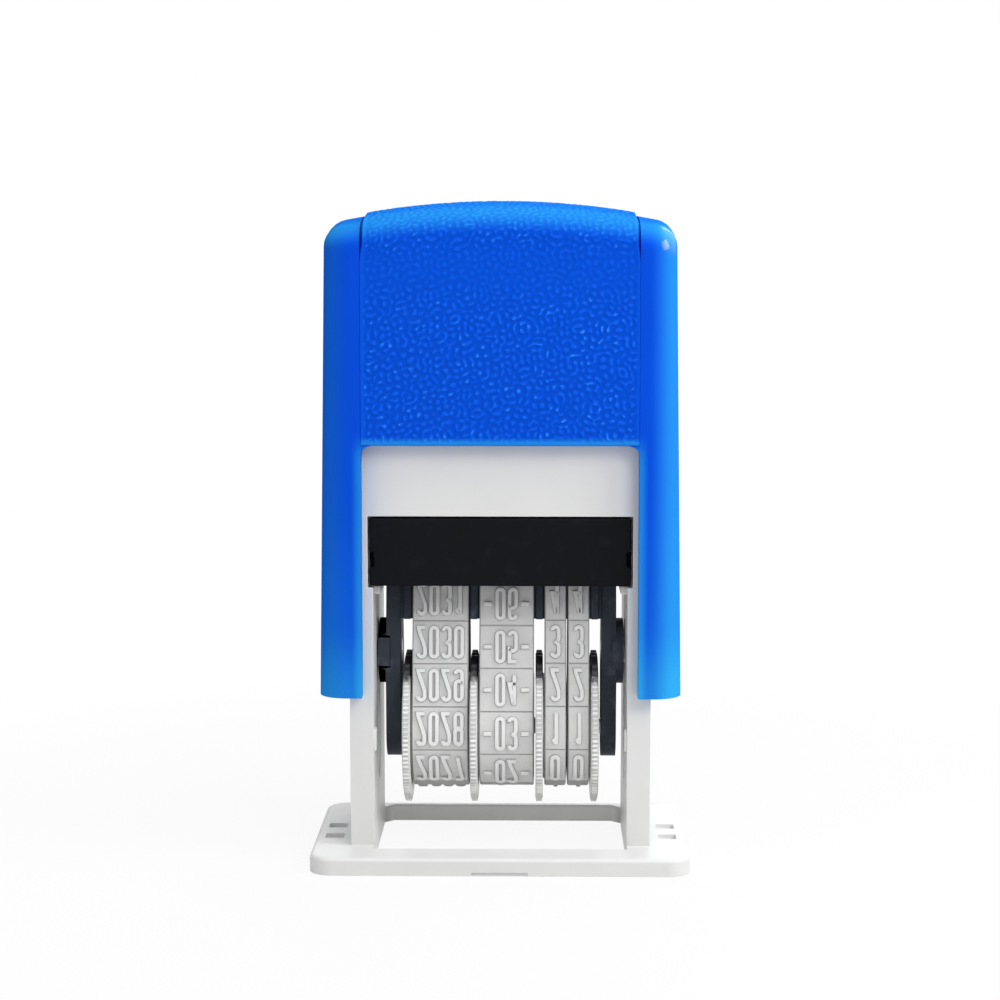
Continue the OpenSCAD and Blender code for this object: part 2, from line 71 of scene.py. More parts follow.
# Frame
FRAME_Y = 1.7
FRAME_IN = 15.1
FRAME_OUT = 17.9
FRAME_FRONT = -8.0
FRAME_REAR = 11.4
FRAME_TOP = 59.5
ROOF_Z = 41.8
SEAT_Z = 43.4
PANEL_T = 1.6
WEB_T = 1.6
POST_D = 3.2
SPIGOT_R = 3.6
SPIGOT_H = 4.5
LEDGE_IN = 14.3
LEDGE_Z = 32.3
LUG_IN = 14.8
LUG_REAR = -6.0
LUG_LOW = 13.5
LUG_HIGH = 16.1
WALL_BITE = 0.2

# Base
BASE_T = 2.1
BASE_CORNER_R = 2.7
BASE_EDGE_R = 0.5
PAPER_FRONT = FRAME_FRONT - 1.4
PAPER_REAR = FRAME_REAR + 1.3
PAPER_CHAMFER = 1.2
LIFT_HALF = 3.3
LIFT_D = 1.6
LIFT_H = 0.4
SLOT_HALF = 1.1
SLOT_D = 0.5
SLOT_STEP = 5.0

# Cap
CAP_FOOT = 20.4
CAP_TOP = 79.0
CAP_IN = 18.1
CAP_CEILING = 75.0
CAP_CORNER = 3.4
CAP_HALF_D = 12.0
CAP_FOOT_HALF = 21.5
CAP_TOP_HALF = 20.7
ARCH_R = 97.0
CROWN_R = 46.0
TOP_CORNER_R = 2.0
TOP_EDGE_R = 2.6
FLANK = (6, 10)
GRIP_T = 0.8
RAIL_STEP = 0.45
SEAM_HALF = 16.3
WINDOW_TOP = 50.3
WINDOW_CORNER_R = 1.2
TRAVEL = 14.4
SPRING_R = 4.8

# Ink tray
TRAY_Z = 33.5
TRAY_PLATE_T = 1.4
TRAY_WALL = 1.5
NOTCH_D = 0.5
NOTCH_LOW = 2.25
NOTCH_HIGH = 4.05

# Carriage
SHAFT_Z = 14.8
PIVOT_Z = 24.2
PIN_R = 1.5
PIN_TIP = CAP_IN + 1.8
SHAFT_R = 1.0
GROOVE_R = 0.75
CLIP_X = 13.35
CLIP_R = 2.0
CLIP_T = 0.4
CLIP_MOUTH_HALF = 0.57
CHEEK_IN = 12.2
CHEEK_OUT = 14.0
CHEEK_FOOT_R = 3.7
CHEEK_TOP_HALF = 2.2
CHEEK_TOP = 17.7
HUB_OUT = 14.9
HUB_R = 4.0
TENON_HALF = 1.2
TENON_LOW = 14.3
TENON_HIGH = 16.7
PLATEN_Z = 13.8

# Date wheels and bands
DIALS = ("year", "month", "day_tens", "day_units")
DISC_R = 9.3
DISC_T = 0.9
DISC_RIM = 0.14
DISC_RIM_W = 0.55
BAND_R = 6.6
BAND_T = 0.7
NOSE_HALF = 1.9
NOSE_R = 0.6
NOSE_Z = 17.4
TYPE_PITCH = 5.2
TYPE_ROWS = 12
PLATE_HALF = 2.52
PLATE_H = 0.14
PLATE_GAP = 0.12

# Stage: each lamp's place, size in metres and power
LAMPS = {
    "key_lamp": ((160, -300, 260), 0.16, 0.48),
    "side_lamp": ((285, -100, 211), 0.18, 0.62),
    "fill_lamp": ((-280, -240, 160), 0.3, 0.28),
    "top_lamp": ((30, -40, 385), 0.22, 0.62),
    "rear_lamp": ((60, 320, 220), 0.25, 0.44),
}
AIM = (-0.15, 0, 42.93)
CAMERA_PLACE = (4.35, -274, 72)
CAMERA_LENS = 81.69
SKY_LIGHT = 0.28
FLOOR_SIZE = 6.0


def length_property(name, description, default, low, high):
    """A length that is given in millimetres."""
    return FloatProperty(name=name, description=description, default=default * MM, min=low * MM, max=high * MM,
                         precision=5, unit="LENGTH")


def colour_property(name, description, default):
    return FloatVectorProperty(
        name=name, description=description, subtype="COLOR", size=3, min=0, max=1, default=default)


class StampSizes(bpy.types.PropertyGroup):
    """Sizes of the finish that a maker would change"""

    edge_round: length_property("Edge rounding", "Radius of the moulded edges", 0.25, 0.05, 0.4)
    grain_size: length_property(
        "Grain size", "Distance from one lump of the grip's leather grain to the next", 0.8, 0.6, 3)
    grain_depth: length_property("Grain depth", "Height of the grain's lumps above their valleys", 0.09, 0, 0.2)
    tooth_count: IntProperty(
        name="Disc teeth", description="Number of teeth round a thumb disc", default=102, min=24, max=160)
    tooth_depth: length_property("Tooth depth", "Depth of a thumb disc's teeth", 0.3, 0.05, 0.6)
    type_height: length_property("Character height", "Height of a character along its band", 4.0, 3, 4.6)
    type_relief: length_property("Character relief", "Height of a character above its band", 0.5, 0.2, 0.5)
    spring_turns: IntProperty(
        name="Spring turns", description="Turns of the return spring, its closed ends included",
        default=11, min=6, max=14)
    wire_radius: length_property("Spring wire radius", "Radius of the return spring's wire", 0.5, 0.3, 0.55)


class StampColours(bpy.types.PropertyGroup):
    """Colours of the stamp's materials"""

    rail_blue: colour_property("Rail blue", "Smooth moulding of the cap", (0.0032, 0.071, 0.65))
    grip_blue: colour_property("Grip blue", "Grained cover of the cap", (0.003, 0.078, 0.655))
    # Painted light on the grain: its ridges are painted paler and some of its tops carry painted glints.
    ridge_blue: colour_property("Ridge blue", "Ridges of the grain", (0.008, 0.118, 0.78))
    glint_blue: colour_property("Glint blue", "Rubbed tops of the grain", (0.035, 0.24, 0.92))
    # Painted light: the cap's corners, top edges, feet, lower legs and the edges by the window are painted in
    # this paler blue.
    thin_blue: colour_property("Thin blue", "Blue where the moulding thins to an edge", (0.028, 0.36, 0.75))
    frame_white: colour_property("Frame white", "Moulding of the frame and base", (0.715, 0.715, 0.703))
    moulded_black: colour_property("Moulded black", "Ink tray and carriage", (0.004, 0.0048, 0.0062))
    rubber_grey: colour_property("Rubber grey", "Date bands", (0.69, 0.69, 0.68))
    disc_white: colour_property("Disc white", "Thumb discs", (0.92, 0.92, 0.905))
    steel: colour_property("Steel", "Spring, shaft, clips and pins", (0.56, 0.57, 0.58))
    ink: colour_property("Ink", "Ink in the pad", (0.012, 0.011, 0.02))


def sizes():
    return bpy.context.scene.stamp_sizes


def colours():
    return bpy.context.scene.stamp_colours


# Modelling by hand: objects are added, picked and shaped with operators


def mm(*values):
    return Vector(values) * MM


def box_mm(node):
    """Lowest and highest corners of a node, in millimetres."""
    return [[value / MM for value in corner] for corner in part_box(node)]


def put_down():
    if bpy.context.mode != "OBJECT":
        bpy.ops.object.mode_set(mode="OBJECT")
    bpy.ops.object.select_all(action="DESELECT")


def take(*objs):
    put_down()
    for obj in objs:
        obj.select_set(True)
    bpy.context.view_layer.objects.active = objs[0]


@contextmanager
def editing(obj, kind="FACE", everything=False):
    """Edit mode on one object, with all of it picked or nothing."""
    take(obj)
    bpy.ops.object.mode_set(mode="EDIT")
    bpy.ops.mesh.select_mode(type=kind)
    bpy.ops.mesh.select_all(action="SELECT" if everything else "DESELECT")
    yield bmesh.from_edit_mesh(obj.data)
    bpy.ops.object.mode_set(mode="OBJECT")


def pick(obj, elements, wanted):
    """Selects the elements for which wanted says yes."""
    for element in elements:
        element.select_set(bool(wanted(element)))
    bmesh.update_edit_mesh(obj.data)


def added(name):
    """The object just added, named, with its place in its mesh."""
    obj = bpy.context.object
    obj.name = name
    bpy.ops.object.transform_apply(location=True, rotation=True, scale=True)
    return obj


def add_box(name, low, high):
    put_down()
    low, high = mm(*low), mm(*high)
    bpy.ops.mesh.primitive_cube_add(size=1, location=(low + high) / 2, scale=high - low)
    return added(name)


def sided_box(name, side, low, high):
    """A box that is given for the right side, put on either side."""
    xs = sorted((side * low[0], side * high[0]))
    return add_box(name, (xs[0], *low[1:]), (xs[1], *high[1:]))


def add_bar(name, radius, start, end, steps=64):
    """Round bar from start to end."""
    put_down()
    start, end = mm(*start), mm(*end)
    way = end - start
    turn = Vector((0, 0, 1)).rotation_difference(way).to_euler()
    bpy.ops.mesh.primitive_cylinder_add(
        vertices=steps, radius=radius * MM, depth=way.length, location=(start + end) / 2, rotation=turn)
    return added(name)


def cross_bar(name, radius, x0, x1, z, steps=64):
    """Round bar across the stamp at a height, on the line of the shaft or the pivots."""
    return add_bar(name, radius, (x0, FRAME_Y, z), (x1, FRAME_Y, z), steps)


def spigot(start, end):
    """Round peg that holds an end of the spring."""
    return soften(add_bar("spigot", SPIGOT_R, (0, FRAME_Y, start), (0, FRAME_Y, end)), 0.4)


def lay_ring(face, points):
    """Lays the corners of a face at points."""
    for loop, point in zip(face.loops, points):
        loop.vert.co = mm(*point)


def add_face(name, points):
    """A flat face of as many corners as points."""
    put_down()
    bpy.ops.mesh.primitive_circle_add(vertices=len(points), radius=MM, fill_type="NGON")
    return added(name)


def add_outline(name, points, shift):
    """A flat outline laid down point by point, then extruded by shift."""
    obj = add_face(name, points)
    with editing(obj) as mesh:
        mesh.faces.ensure_lookup_table()
        lay_ring(mesh.faces[0], points)
        pick(obj, mesh.faces, lambda face: True)
        bpy.ops.mesh.extrude_region_move(TRANSFORM_OT_translate={"value": mm(*shift)})
        outward()
    return obj


def add_stack(name, rings):
    """A closed form drawn up through a stack of rings by extruding its end face from one to the next."""
    obj = add_face(name, rings[0])
    with editing(obj) as mesh:
        mesh.faces.ensure_lookup_table()
        lay_ring(mesh.faces[0], rings[0])
        pick(obj, mesh.faces, lambda face: True)
        for ring in rings[1:]:
            bpy.ops.mesh.extrude_region_move()
            mesh = bmesh.from_edit_mesh(obj.data)
            lay_ring(next(face for face in mesh.faces if face.select), ring)
        bmesh.update_edit_mesh(obj.data)
        outward()
    return obj


def outward():
    """Turns all faces of the object in edit mode outwards."""
    bpy.ops.mesh.select_all(action="SELECT")
    bpy.ops.mesh.normals_make_consistent(inside=False)


def merged(name, *objs):
    """Several objects made into one, each keeping its own closed skin."""
    take(*objs)
    if len(objs) > 1:
        bpy.ops.object.join()
    objs[0].name = name
    return objs[0]


def use(obj, kind, **settings):
    """Adds a modifier, sets it and applies it."""
    take(obj)
    modifier = obj.modifiers.new(kind.title(), kind)
    for key, value in settings.items():
        setattr(modifier, key, value)
    bpy.ops.object.modifier_apply(modifier=modifier.name)
    return obj


def combine(obj, operation, *tools):
    """Boolean of an object with tools, which are used up; slivers are closed."""
    for tool in tools:
        use(obj, "BOOLEAN", operation=operation, solver="EXACT", object=tool)
        bpy.data.objects.remove(tool)
    sliver = 0.0005 * MM
    with editing(obj, "VERT", everything=True):
        bpy.ops.mesh.remove_doubles(threshold=sliver)
        bpy.ops.mesh.dissolve_degenerate(threshold=sliver)
    return obj


def cut(obj, *tools):
    return combine(obj, "DIFFERENCE", *tools)


def weld(obj, *tools):
    return combine(obj, "UNION", *tools)


def flatten(obj):
    """Joins the faces that lie in one plane."""
    with editing(obj, everything=True):
        bpy.ops.mesh.dissolve_limited(angle_limit=math.radians(0.1))
    return obj


def soften(obj, radius=None, steps=3, angle=32, fine=None):
    """Rounds the sharp edges, much less where fine says yes, and shades the result."""
    radius = sizes().edge_round if radius is None else radius * MM
    limit = math.radians(angle)
    fine_share = 0.14
    if fine:
        with editing(obj, "EDGE") as mesh:
            weight = mesh.edges.layers.float.new("bevel_weight_edge")
            for edge in mesh.edges:
                if edge.calc_face_angle(0.0) > limit:
                    edge[weight] = fine_share if fine(edge) else 1.0
            bmesh.update_edit_mesh(obj.data)
    use(obj, "BEVEL", width=radius, segments=steps, limit_method="WEIGHT" if fine else "ANGLE",
        angle_limit=limit, miter_outer="MITER_ARC")
    return shade(obj)


def shade(obj, angle=40):
    take(obj)
    bpy.ops.object.shade_smooth_by_angle(angle=math.radians(angle))
    return use(obj, "WEIGHTED_NORMAL", keep_sharp=True)


def copy_of(obj, name):
    """A copy with its own mesh."""
    take(obj)
    bpy.ops.object.duplicate(linked=False)
    bpy.context.object.name = name
    return bpy.context.object


def mirrored(obj, name):
    """A copy on the other side of the stamp."""
    twin = copy_of(obj, name)
    with editing(twin, "VERT", everything=True) as mesh:
        for vert in mesh.verts:
            vert.co.x = -vert.co.x
        bmesh.update_edit_mesh(twin.data)
        bpy.ops.mesh.flip_normals()
    return shade(twin)


def mark(obj, name, values):
    """Keeps a value for each point of a mesh, for its finish to read."""
    layer = obj.data.attributes.get(name) or obj.data.attributes.new(name, "FLOAT", "POINT")
    layer.data.foreach_set("value", values)


def dress(obj, material, body, node):
    """Gives a finished piece its material, the body that it rides on and the node that it stands for."""
    obj.data.materials.clear()
    obj.data.materials.append(material)
    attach(obj, body)
    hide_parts(node)


# Finishes


class Signal:
    """A shader socket that takes part in Python sums."""

    def __init__(self, tree, socket=None):
        self.tree = tree
        self.socket = socket

    def add(self, kind, settings=None, inputs=None, out=0):
        """Adds a node: its settings first, then the values or links of its sockets."""
        node = self.tree.nodes.new(kind)
        for key, value in (settings or {}).items():
            setattr(node, key, value)
        for key, value in (inputs or {}).items():
            if isinstance(value, Signal):
                self.tree.links.new(value.socket, node.inputs[key])
            else:
                node.inputs[key].default_value = value
        return Signal(self.tree, node.outputs[out])

    def others(self, *names):
        """More outputs of the node that this socket belongs to."""
        return [Signal(self.tree, self.socket.node.outputs[name]) for name in names]

    def maths(self, operation, first, second=0.0):
        return self.add("ShaderNodeMath", {"operation": operation}, {0: first, 1: second})

    def __add__(self, other):
        return self.maths("ADD", self, other)

    __radd__ = __add__

    def __mul__(self, other):
        return self.maths("MULTIPLY", self, other)

    __rmul__ = __mul__

    def __sub__(self, other):
        return self.maths("SUBTRACT", self, other)

    def __rsub__(self, other):
        return self.maths("SUBTRACT", other, self)

    def __truediv__(self, other):
        return self.maths("DIVIDE", self, other)

    def __abs__(self):
        return self.maths("ABSOLUTE", self)

    def above(self, low, high):
        """0 below low, 1 above high, smooth in between."""
        return self.add("ShaderNodeMapRange", {"interpolation_type": "SMOOTHSTEP"},
                        {"Value": self, "From Min": low, "From Max": high})

    def below(self, low, high):
        """1 below low, 0 above high, smooth in between."""
        return 1 - self.above(low, high)

    def within(self, start, full, fall, end):
        """1 from full to fall, 0 before start and after end."""
        return self.above(start, full) * self.below(fall, end)

    def blend(self, start, end):
        """A colour that goes from start to end as this value goes from 0 to 1."""
        return self.add("ShaderNodeMix", {"data_type": "RGBA"}, {0: self, 6: start, 7: end}, out=2)

    def shades(self, name, dark, pale):
        """One of the stamp's colours, from one share of it to another."""
        return self.blend(paint(name, dark), paint(name, pale))

    def axes(self):
        return self.add("ShaderNodeSeparateXYZ", None, {0: self}).others("X", "Y", "Z")

    def cloud(self, size, detail=2.0, roughness=0.5):
        """Noise whose lumps are about size millimetres across."""
        return self.add("ShaderNodeTexNoise", None,
                        {"Vector": self, "Scale": 1 / size, "Detail": detail, "Roughness": roughness})

    def marked(self, name):
        """A value that mark kept for the points of the mesh."""
        return self.add("ShaderNodeAttribute", {"attribute_name": name}, out="Fac")

    def bump(self, depth, strength):
        """Surface normal from this height, depth millimetres at most."""
        return self.add("ShaderNodeBump", None, {"Height": self, "Distance": depth * MM, "Strength": strength})

    def plastic(self, colour, rough, normal, gloss=0.5, metal=0.0, polish=0.0):
        """A moulded surface, or a metal one; polish is a clear gloss over it."""
        return self.add("ShaderNodeBsdfPrincipled", None,
                        {"Base Color": colour, "Roughness": rough, "Normal": normal, "Metallic": metal,
                         "Specular IOR Level": gloss, "Coat Weight": polish, "Coat Roughness": 0.1})


def paint(name, share=1.0):
    """One of the stamp's colours, darker or paler by share."""
    return tuple(min(1.0, channel * share) for channel in getattr(colours(), name)) + (1.0,)


def finish(lay):
    """Makes lay, which shades an object's own coordinates in millimetres, give the material of its name."""
    def material_of():
        material = bpy.data.materials.get(lay.__name__)
        if material:
            return material
        material = bpy.data.materials.new(lay.__name__)
        material.use_nodes = True
        tree = material.node_tree
        tree.nodes.clear()
        place = Signal(tree).add("ShaderNodeTexCoord", out="Object")
        place = place.add("ShaderNodeVectorMath", {"operation": "SCALE"}, {0: place, "Scale": 1 / MM})
        output = tree.nodes.new("ShaderNodeOutputMaterial")
        tree.links.new(lay(place).socket, output.inputs["Surface"])
        return material
    return material_of


def arched(x, z):
    """A height on the cap, taken along the arch to the cap's middle."""
    return z + x * x / (2 * ARCH_R)


def top_edge(x, depth, z):
    """Mask of the painted top light: 1 on the rounded edges of the cap's arched top, less on its middle."""
    return arched(x, z).above(75.0, 77.6) * (0.55 + depth.above(*FLANK) * 0.45)


@finish
def rail_moulding(place):
    x, y, z = place.axes()
    side, depth = abs(x), abs(y - FRAME_Y)
    # Painted light: the corners (much paler on the right-hand side), the edges by the window, the feet, the
    # lower legs and the top edges are painted paler blue, where light falls on them.
    corner = side.above(17.3, 20.5) * (0.3 + depth.above(*FLANK) * 0.7)
    paler = 0.18 + x.above(-18, 18) * 0.38
    inner = side.below(SEAM_HALF + 0.1, SEAM_HALF + 1.2) * z.below(48, 52)
    foot = z.below(CAP_FOOT, CAP_FOOT + 9)
    leg = z.below(CAP_FOOT, WINDOW_TOP)
    painted_light = corner * paler + inner * 0.45 + foot * 0.32 + leg * 0.12 + top_edge(x, depth, z) * 0.55
    colour = painted_light.blend(place.cloud(9, 3).shades("rail_blue", 0.93, 1.07), paint("thin_blue"))
    shoulder = arched(x, z).within(74.2, 75.6, 77.7, 78.3) * x.within(18.5, 19.3, 20.2, 20.6)
    polish = shoulder * (FRAME_Y - y).above(8.5, 10)
    flow = place.cloud(3.5, 2)
    scuff = place.cloud(0.35, 4, 0.65)
    rough = 0.3 + flow * 0.06 + scuff.above(0.62, 0.8) * 0.12
    normal = (flow * 0.8 + scuff * 0.2).bump(0.012, 0.5)
    return place.plastic(colour, rough, normal, gloss=0.0, polish=polish)


@finish
def grip_moulding(place):
    x, y, z = place.axes()
    grain = place.marked("grain")
    fine = place.cloud(0.14, 3)
    blue = place.cloud(7, 2).shades("grip_blue", 0.94, 1.06)
    # Painted shade and light on the grain: the valleys are painted darker, the ridges paler, and painted glints
    # lie on some ridge tops.
    shaded_valleys = grain.above(0.05, 0.4).blend(paint("grip_blue", 0.9), blue)
    lit_ridges = (grain.above(0.3, 0.85) * 0.55).blend(shaded_valleys, paint("ridge_blue"))
    glint = grain.above(0.6, 0.95) * place.cloud(1.2, 3).above(0.5, 0.68)
    grained = (glint * 0.8).blend(lit_ridges, paint("glint_blue"))
    # Painted light: the lip by the window and the top edges are painted paler blue, more on the ridges.
    lip = z.below(WINDOW_TOP + 0.25, WINDOW_TOP + 1.1)
    painted_light = lip * 0.5 + top_edge(x, abs(y - FRAME_Y), z) * (0.45 + grain * 0.26)
    colour = painted_light.blend(grained, paint("thin_blue"))
    rough = 0.5 - grain * 0.1 + fine * 0.06
    return place.plastic(colour, rough, (grain * 0.8 + fine * 0.2).bump(0.04, 0.5), gloss=0.0)


@finish
def white_moulding(place):
    _, y, z = place.axes()
    pit = place.cloud(0.3, 4, 0.6)
    white = place.cloud(6, 3).shades("frame_white", 0.96, 1.03)
    # Painted light: the face of the base's rear bar by the paper window is painted paler, as light shining
    # through the moulding.
    rear_bar = y.within(PAPER_REAR - PAPER_CHAMFER, PAPER_REAR - 0.1, PAPER_REAR + 0.1, PAPER_REAR + 0.4)
    lit = rear_bar * z.below(BASE_T - 0.4, BASE_T)
    colour = lit.blend(white, paint("frame_white", 1.38))
    return place.plastic(colour, 0.38 + pit * 0.1, pit.bump(0.01, 0.5))


def black_moulding(place, share):
    grain = place.cloud(0.22, 4, 0.6)
    wear_and_shade = place.cloud(2.5, 4, 0.7).above(0.52, 0.78)
    colour = wear_and_shade.shades("moulded_black", share, 1.9 * share)
    rough = 0.36 + grain * 0.14 + wear_and_shade * 0.08
    return place.plastic(colour, rough, grain.bump(0.014, 0.6), gloss=0.07)


@finish
def tray_black(place):
    return black_moulding(place, 1.0)


@finish
def carriage_black(place):
    return black_moulding(place, 11.0)


@finish
def rubber_bands(place):
    relief = place.marked("relief")
    dust = place.cloud(0.16, 4, 0.7)
    dark_patch = place.cloud(2.2, 3).above(0.45, 0.75)
    ground = (dark_patch * 0.3).blend(dust.shades("rubber_grey", 0.88, 1.08), paint("rubber_grey", 0.74))
    # Painted shade: the band between the plates and the characters' sides are painted darker. The characters'
    # faces are painted paler.
    plate = relief.above(0.05, 0.25).blend(paint("rubber_grey", 0.6), ground)
    wall = relief.within(0.26, 0.36, 0.6, 0.85)
    sided = (wall * 0.8).blend(plate, paint("rubber_grey", 0.4))
    colour = relief.above(0.75, 0.95).blend(sided, paint("rubber_grey", 1.17))
    return place.plastic(colour, 0.62 + dust * 0.16, dust.bump(0.015, 0.5), gloss=0.3)


@finish
def disc_moulding(place):
    _, y, z = place.axes()
    tint = place.cloud(1.6, 3)
    across, up = (y - FRAME_Y) / DISC_R, (z - SHAFT_Z) / DISC_R
    reach = place.maths("SQRT", across * across + up * up)
    # Painted shade: the gaps between the teeth are painted darker.
    tooth_gap_shade = reach.within(0.95, 0.962, 0.974, 0.99)
    # The disc's top is painted near-black in the ink colour, with a ragged edge.
    ragged_edge = place.cloud(0.7, 3) * 0.22
    dark_patch = (up + ragged_edge).above(0.76, 0.9) * (abs(across) - ragged_edge).below(0.5, 0.8)
    wear_and_shade = (tooth_gap_shade * 0.5).blend(tint.shades("disc_white", 0.94, 1.04), paint("disc_white", 0.36))
    colour = (dark_patch * 0.98).blend(wear_and_shade, paint("ink"))
    return place.plastic(colour, 0.36 + tint * 0.12, tint.bump(0.01, 0.4))


@finish
def bright_steel(place):
    drawn = place.add("ShaderNodeMapping", None, {"Vector": place, "Scale": (0.05, 1, 1)})
    lines = drawn.cloud(0.08, 3, 0.7)
    colour = place.cloud(1.2, 2).shades("steel", 0.88, 1.08)
    return place.plastic(colour, 0.22 + lines * 0.16, lines.bump(0.004, 0.5), metal=1.0)


@finish
def inked_felt(place):
    fibre = place.cloud(0.14, 5, 0.75)
    colour = (fibre * 0.5 + place.cloud(2.4, 2) * 0.5).shades("ink", 0.8, 2.6)
    return place.plastic(colour, 0.6 + fibre * 0.3, fibre.bump(0.08, 0.8))


def seen(signal):
    """1 where the camera, a reflection or a clear material looks, 0 for light that falls on the object."""
    camera, glossy, clear = signal.add("ShaderNodeLightPath").others(
        "Is Camera Ray", "Is Glossy Ray", "Is Transmission Ray")
    return signal.maths("MINIMUM", camera + glossy + clear, 1.0)


@finish
def floor_white(place):
    x, y, _ = place.axes()
    grey = place.cloud(40, 2).blend((0.74, 0.74, 0.74, 1), (0.76, 0.76, 0.76, 1))
    matt = place.add("ShaderNodeBsdfDiffuse", None, {"Color": grey})
    white = place.add("ShaderNodeEmission", None, {"Color": (1, 1, 1, 1), "Strength": 1.0})
    away = (x * x + y * y).above(1600, 15000)
    lift = abs(x).below(LIFT_HALF, LIFT_HALF + 0.2) * y.within(-14.2, -13.9, -12.3, -12)
    bright = seen(place) * (0.9 + away * 0.1 - lift * 0.44)
    return place.add("ShaderNodeMixShader", None, {0: bright, 1: matt, 2: white})


# Outlines


def polar(radius, angle):
    """Point at a distance and an angle in degrees."""
    return radius * math.cos(math.radians(angle)), radius * math.sin(math.radians(angle))


def arc(centre, radius, start, end, steps):
    """Points of an arc in a plane, angles in degrees."""
    points = [polar(radius, start + (end - start) * i / steps) for i in range(steps + 1)]
    return [(centre[0] + x, centre[1] + y) for x, y in points]


def ease(value, low, high):
    """0 below low, 1 above high, smooth in between."""
    share = max(0.0, min(1.0, (value - low) / (high - low)))
    return share * share * (3 - 2 * share)


def crown(x, y, drop):
    """Height of the cap's top over a place on it."""
    return CAP_TOP - drop - x * x / (2 * ARCH_R) - (y - FRAME_Y) ** 2 / (2 * CROWN_R)


def cap_ring(half_w, half_d, roll):
    """Ring of the cap's outside: (x, y, edge radius), drawn in by the top edge's rounding at roll."""
    corner_steps, wide_steps, deep_steps = 8, 24, 12
    w, d = half_w - CAP_CORNER, half_d - CAP_CORNER
    axes = [(w, d), (-w, d), (-w, -d), (w, -d)]
    ring = []
    for side, (ax, ay) in enumerate(axes):
        bx, by = axes[(side + 1) % 4]
        steps = deep_steps if side % 2 else wide_steps
        places = [(ax, ay, 90 * side + 90 * i / corner_steps) for i in range(corner_steps + 1)]
        places += [(ax + (bx - ax) * i / steps, ay + (by - ay) * i / steps, 90 * side + 90)
                   for i in range(1, steps)]
        for px, py, facing in places:
            c, s = polar(1, facing)
            edge = TOP_CORNER_R * c * c + TOP_EDGE_R * s * s
            r = CAP_CORNER - edge * (1 - math.cos(math.radians(roll)))
            ring.append((px + r * c, FRAME_Y + py + r * s, edge))
    return ring


def add_cap_form(name, drop, inset):
    """The cap's outside as a solid: walls with draft, rounded top edges, arched and crowned top."""
    half_d = CAP_HALF_D - inset
    rings = [[(x, y, CAP_FOOT) for x, y, edge in cap_ring(CAP_FOOT_HALF, half_d, 0)]]
    for roll in range(0, 91, 15):
        rings.append([(x, y, crown(x, y, drop) - edge * (1 - math.sin(math.radians(roll))))
                      for x, y, edge in cap_ring(CAP_TOP_HALF, half_d, roll)])
    rim = rings[-1]
    for share in (0.86, 0.7, 0.54, 0.38, 0.22, 0.08):
        places = [(x * share, FRAME_Y + (y - FRAME_Y) * share) for x, y, z in rim]
        rings.append([(x, y, crown(x, y, drop)) for x, y in places])
    return add_stack(name, rings)


LOOP_REACH = math.hypot(NOSE_HALF, NOSE_Z)
LOOP_TILT = math.degrees(math.atan2(NOSE_Z, NOSE_HALF) - math.acos((BAND_R - NOSE_R) / LOOP_REACH))
LOOP_STRAIGHT = math.sqrt(LOOP_REACH ** 2 - (BAND_R - NOSE_R) ** 2)


def loop_outline(t):
    """Closed outline of a band, t outside its inner face: (y, z) from the wheel shaft."""
    return (arc((0, 0), BAND_R + t, 180 - LOOP_TILT, 360 + LOOP_TILT, 64)
            + arc((NOSE_HALF, NOSE_Z), NOSE_R + t, LOOP_TILT, 90, 8)
            + arc((-NOSE_HALF, NOSE_Z), NOSE_R + t, 90, 180 - LOOP_TILT, 8))


def add_section(name, outline, x0, x1):
    """A form of one outline, (y, z) from the wheel shaft, from x0 to x1."""
    return add_outline(name, [(x0, FRAME_Y + y, SHAFT_Z + z) for y, z in outline], (x1 - x0, 0, 0))


def loop_place(s):
    """Place and outward direction on a band's outer face, s from the middle of the nose towards the rear."""
    if s < 0:
        y, z, facing = loop_place(-s)
        return -y, z, 180 - facing
    corner, drum, bend = NOSE_R + BAND_T, BAND_R + BAND_T, 90 - LOOP_TILT
    nose_arc = corner * math.radians(bend)
    if s < NOSE_HALF:
        return s, NOSE_Z + corner, 90
    if s < NOSE_HALF + nose_arc:
        facing = 90 - (s - NOSE_HALF) / nose_arc * bend
        y, z = polar(corner, facing)
        return NOSE_HALF + y, NOSE_Z + z, facing
    run = s - NOSE_HALF - nose_arc
    if run < LOOP_STRAIGHT:
        y, z = polar(corner, LOOP_TILT)
        along, down = polar(run, -bend)
        return NOSE_HALF + y + along, NOSE_Z + z + down, LOOP_TILT
    facing = LOOP_TILT - math.degrees((run - LOOP_STRAIGHT) / drum)
    return (*polar(drum, facing), facing)


def on_band(x, s, lift):
    """Point over a band's outer face."""
    y, z, facing = loop_place(s)
    out_y, out_z = polar(lift, facing)
    return x, FRAME_Y + y + out_y, SHAFT_Z + z + out_z


def disc_place(name):
    """Where a wheel's thumb disc starts and ends across the stamp."""
    (wheel_low, _, _), (wheel_high, _, _) = box_mm(name + "_wheel")
    (band_low, _, _), _ = box_mm(name + "_band")
    if wheel_low < band_low - DISC_T / 2:
        return wheel_low, wheel_low + DISC_T
    return wheel_high - DISC_T, wheel_high


DISC_PLACES = {name: disc_place(name) for name in DIALS}


# Pieces


class PieceOperator:
    """What the piece operators share"""

    bl_options = {"REGISTER", "UNDO"}

    def execute(self, context):
        self.make()
        return {"FINISHED"}


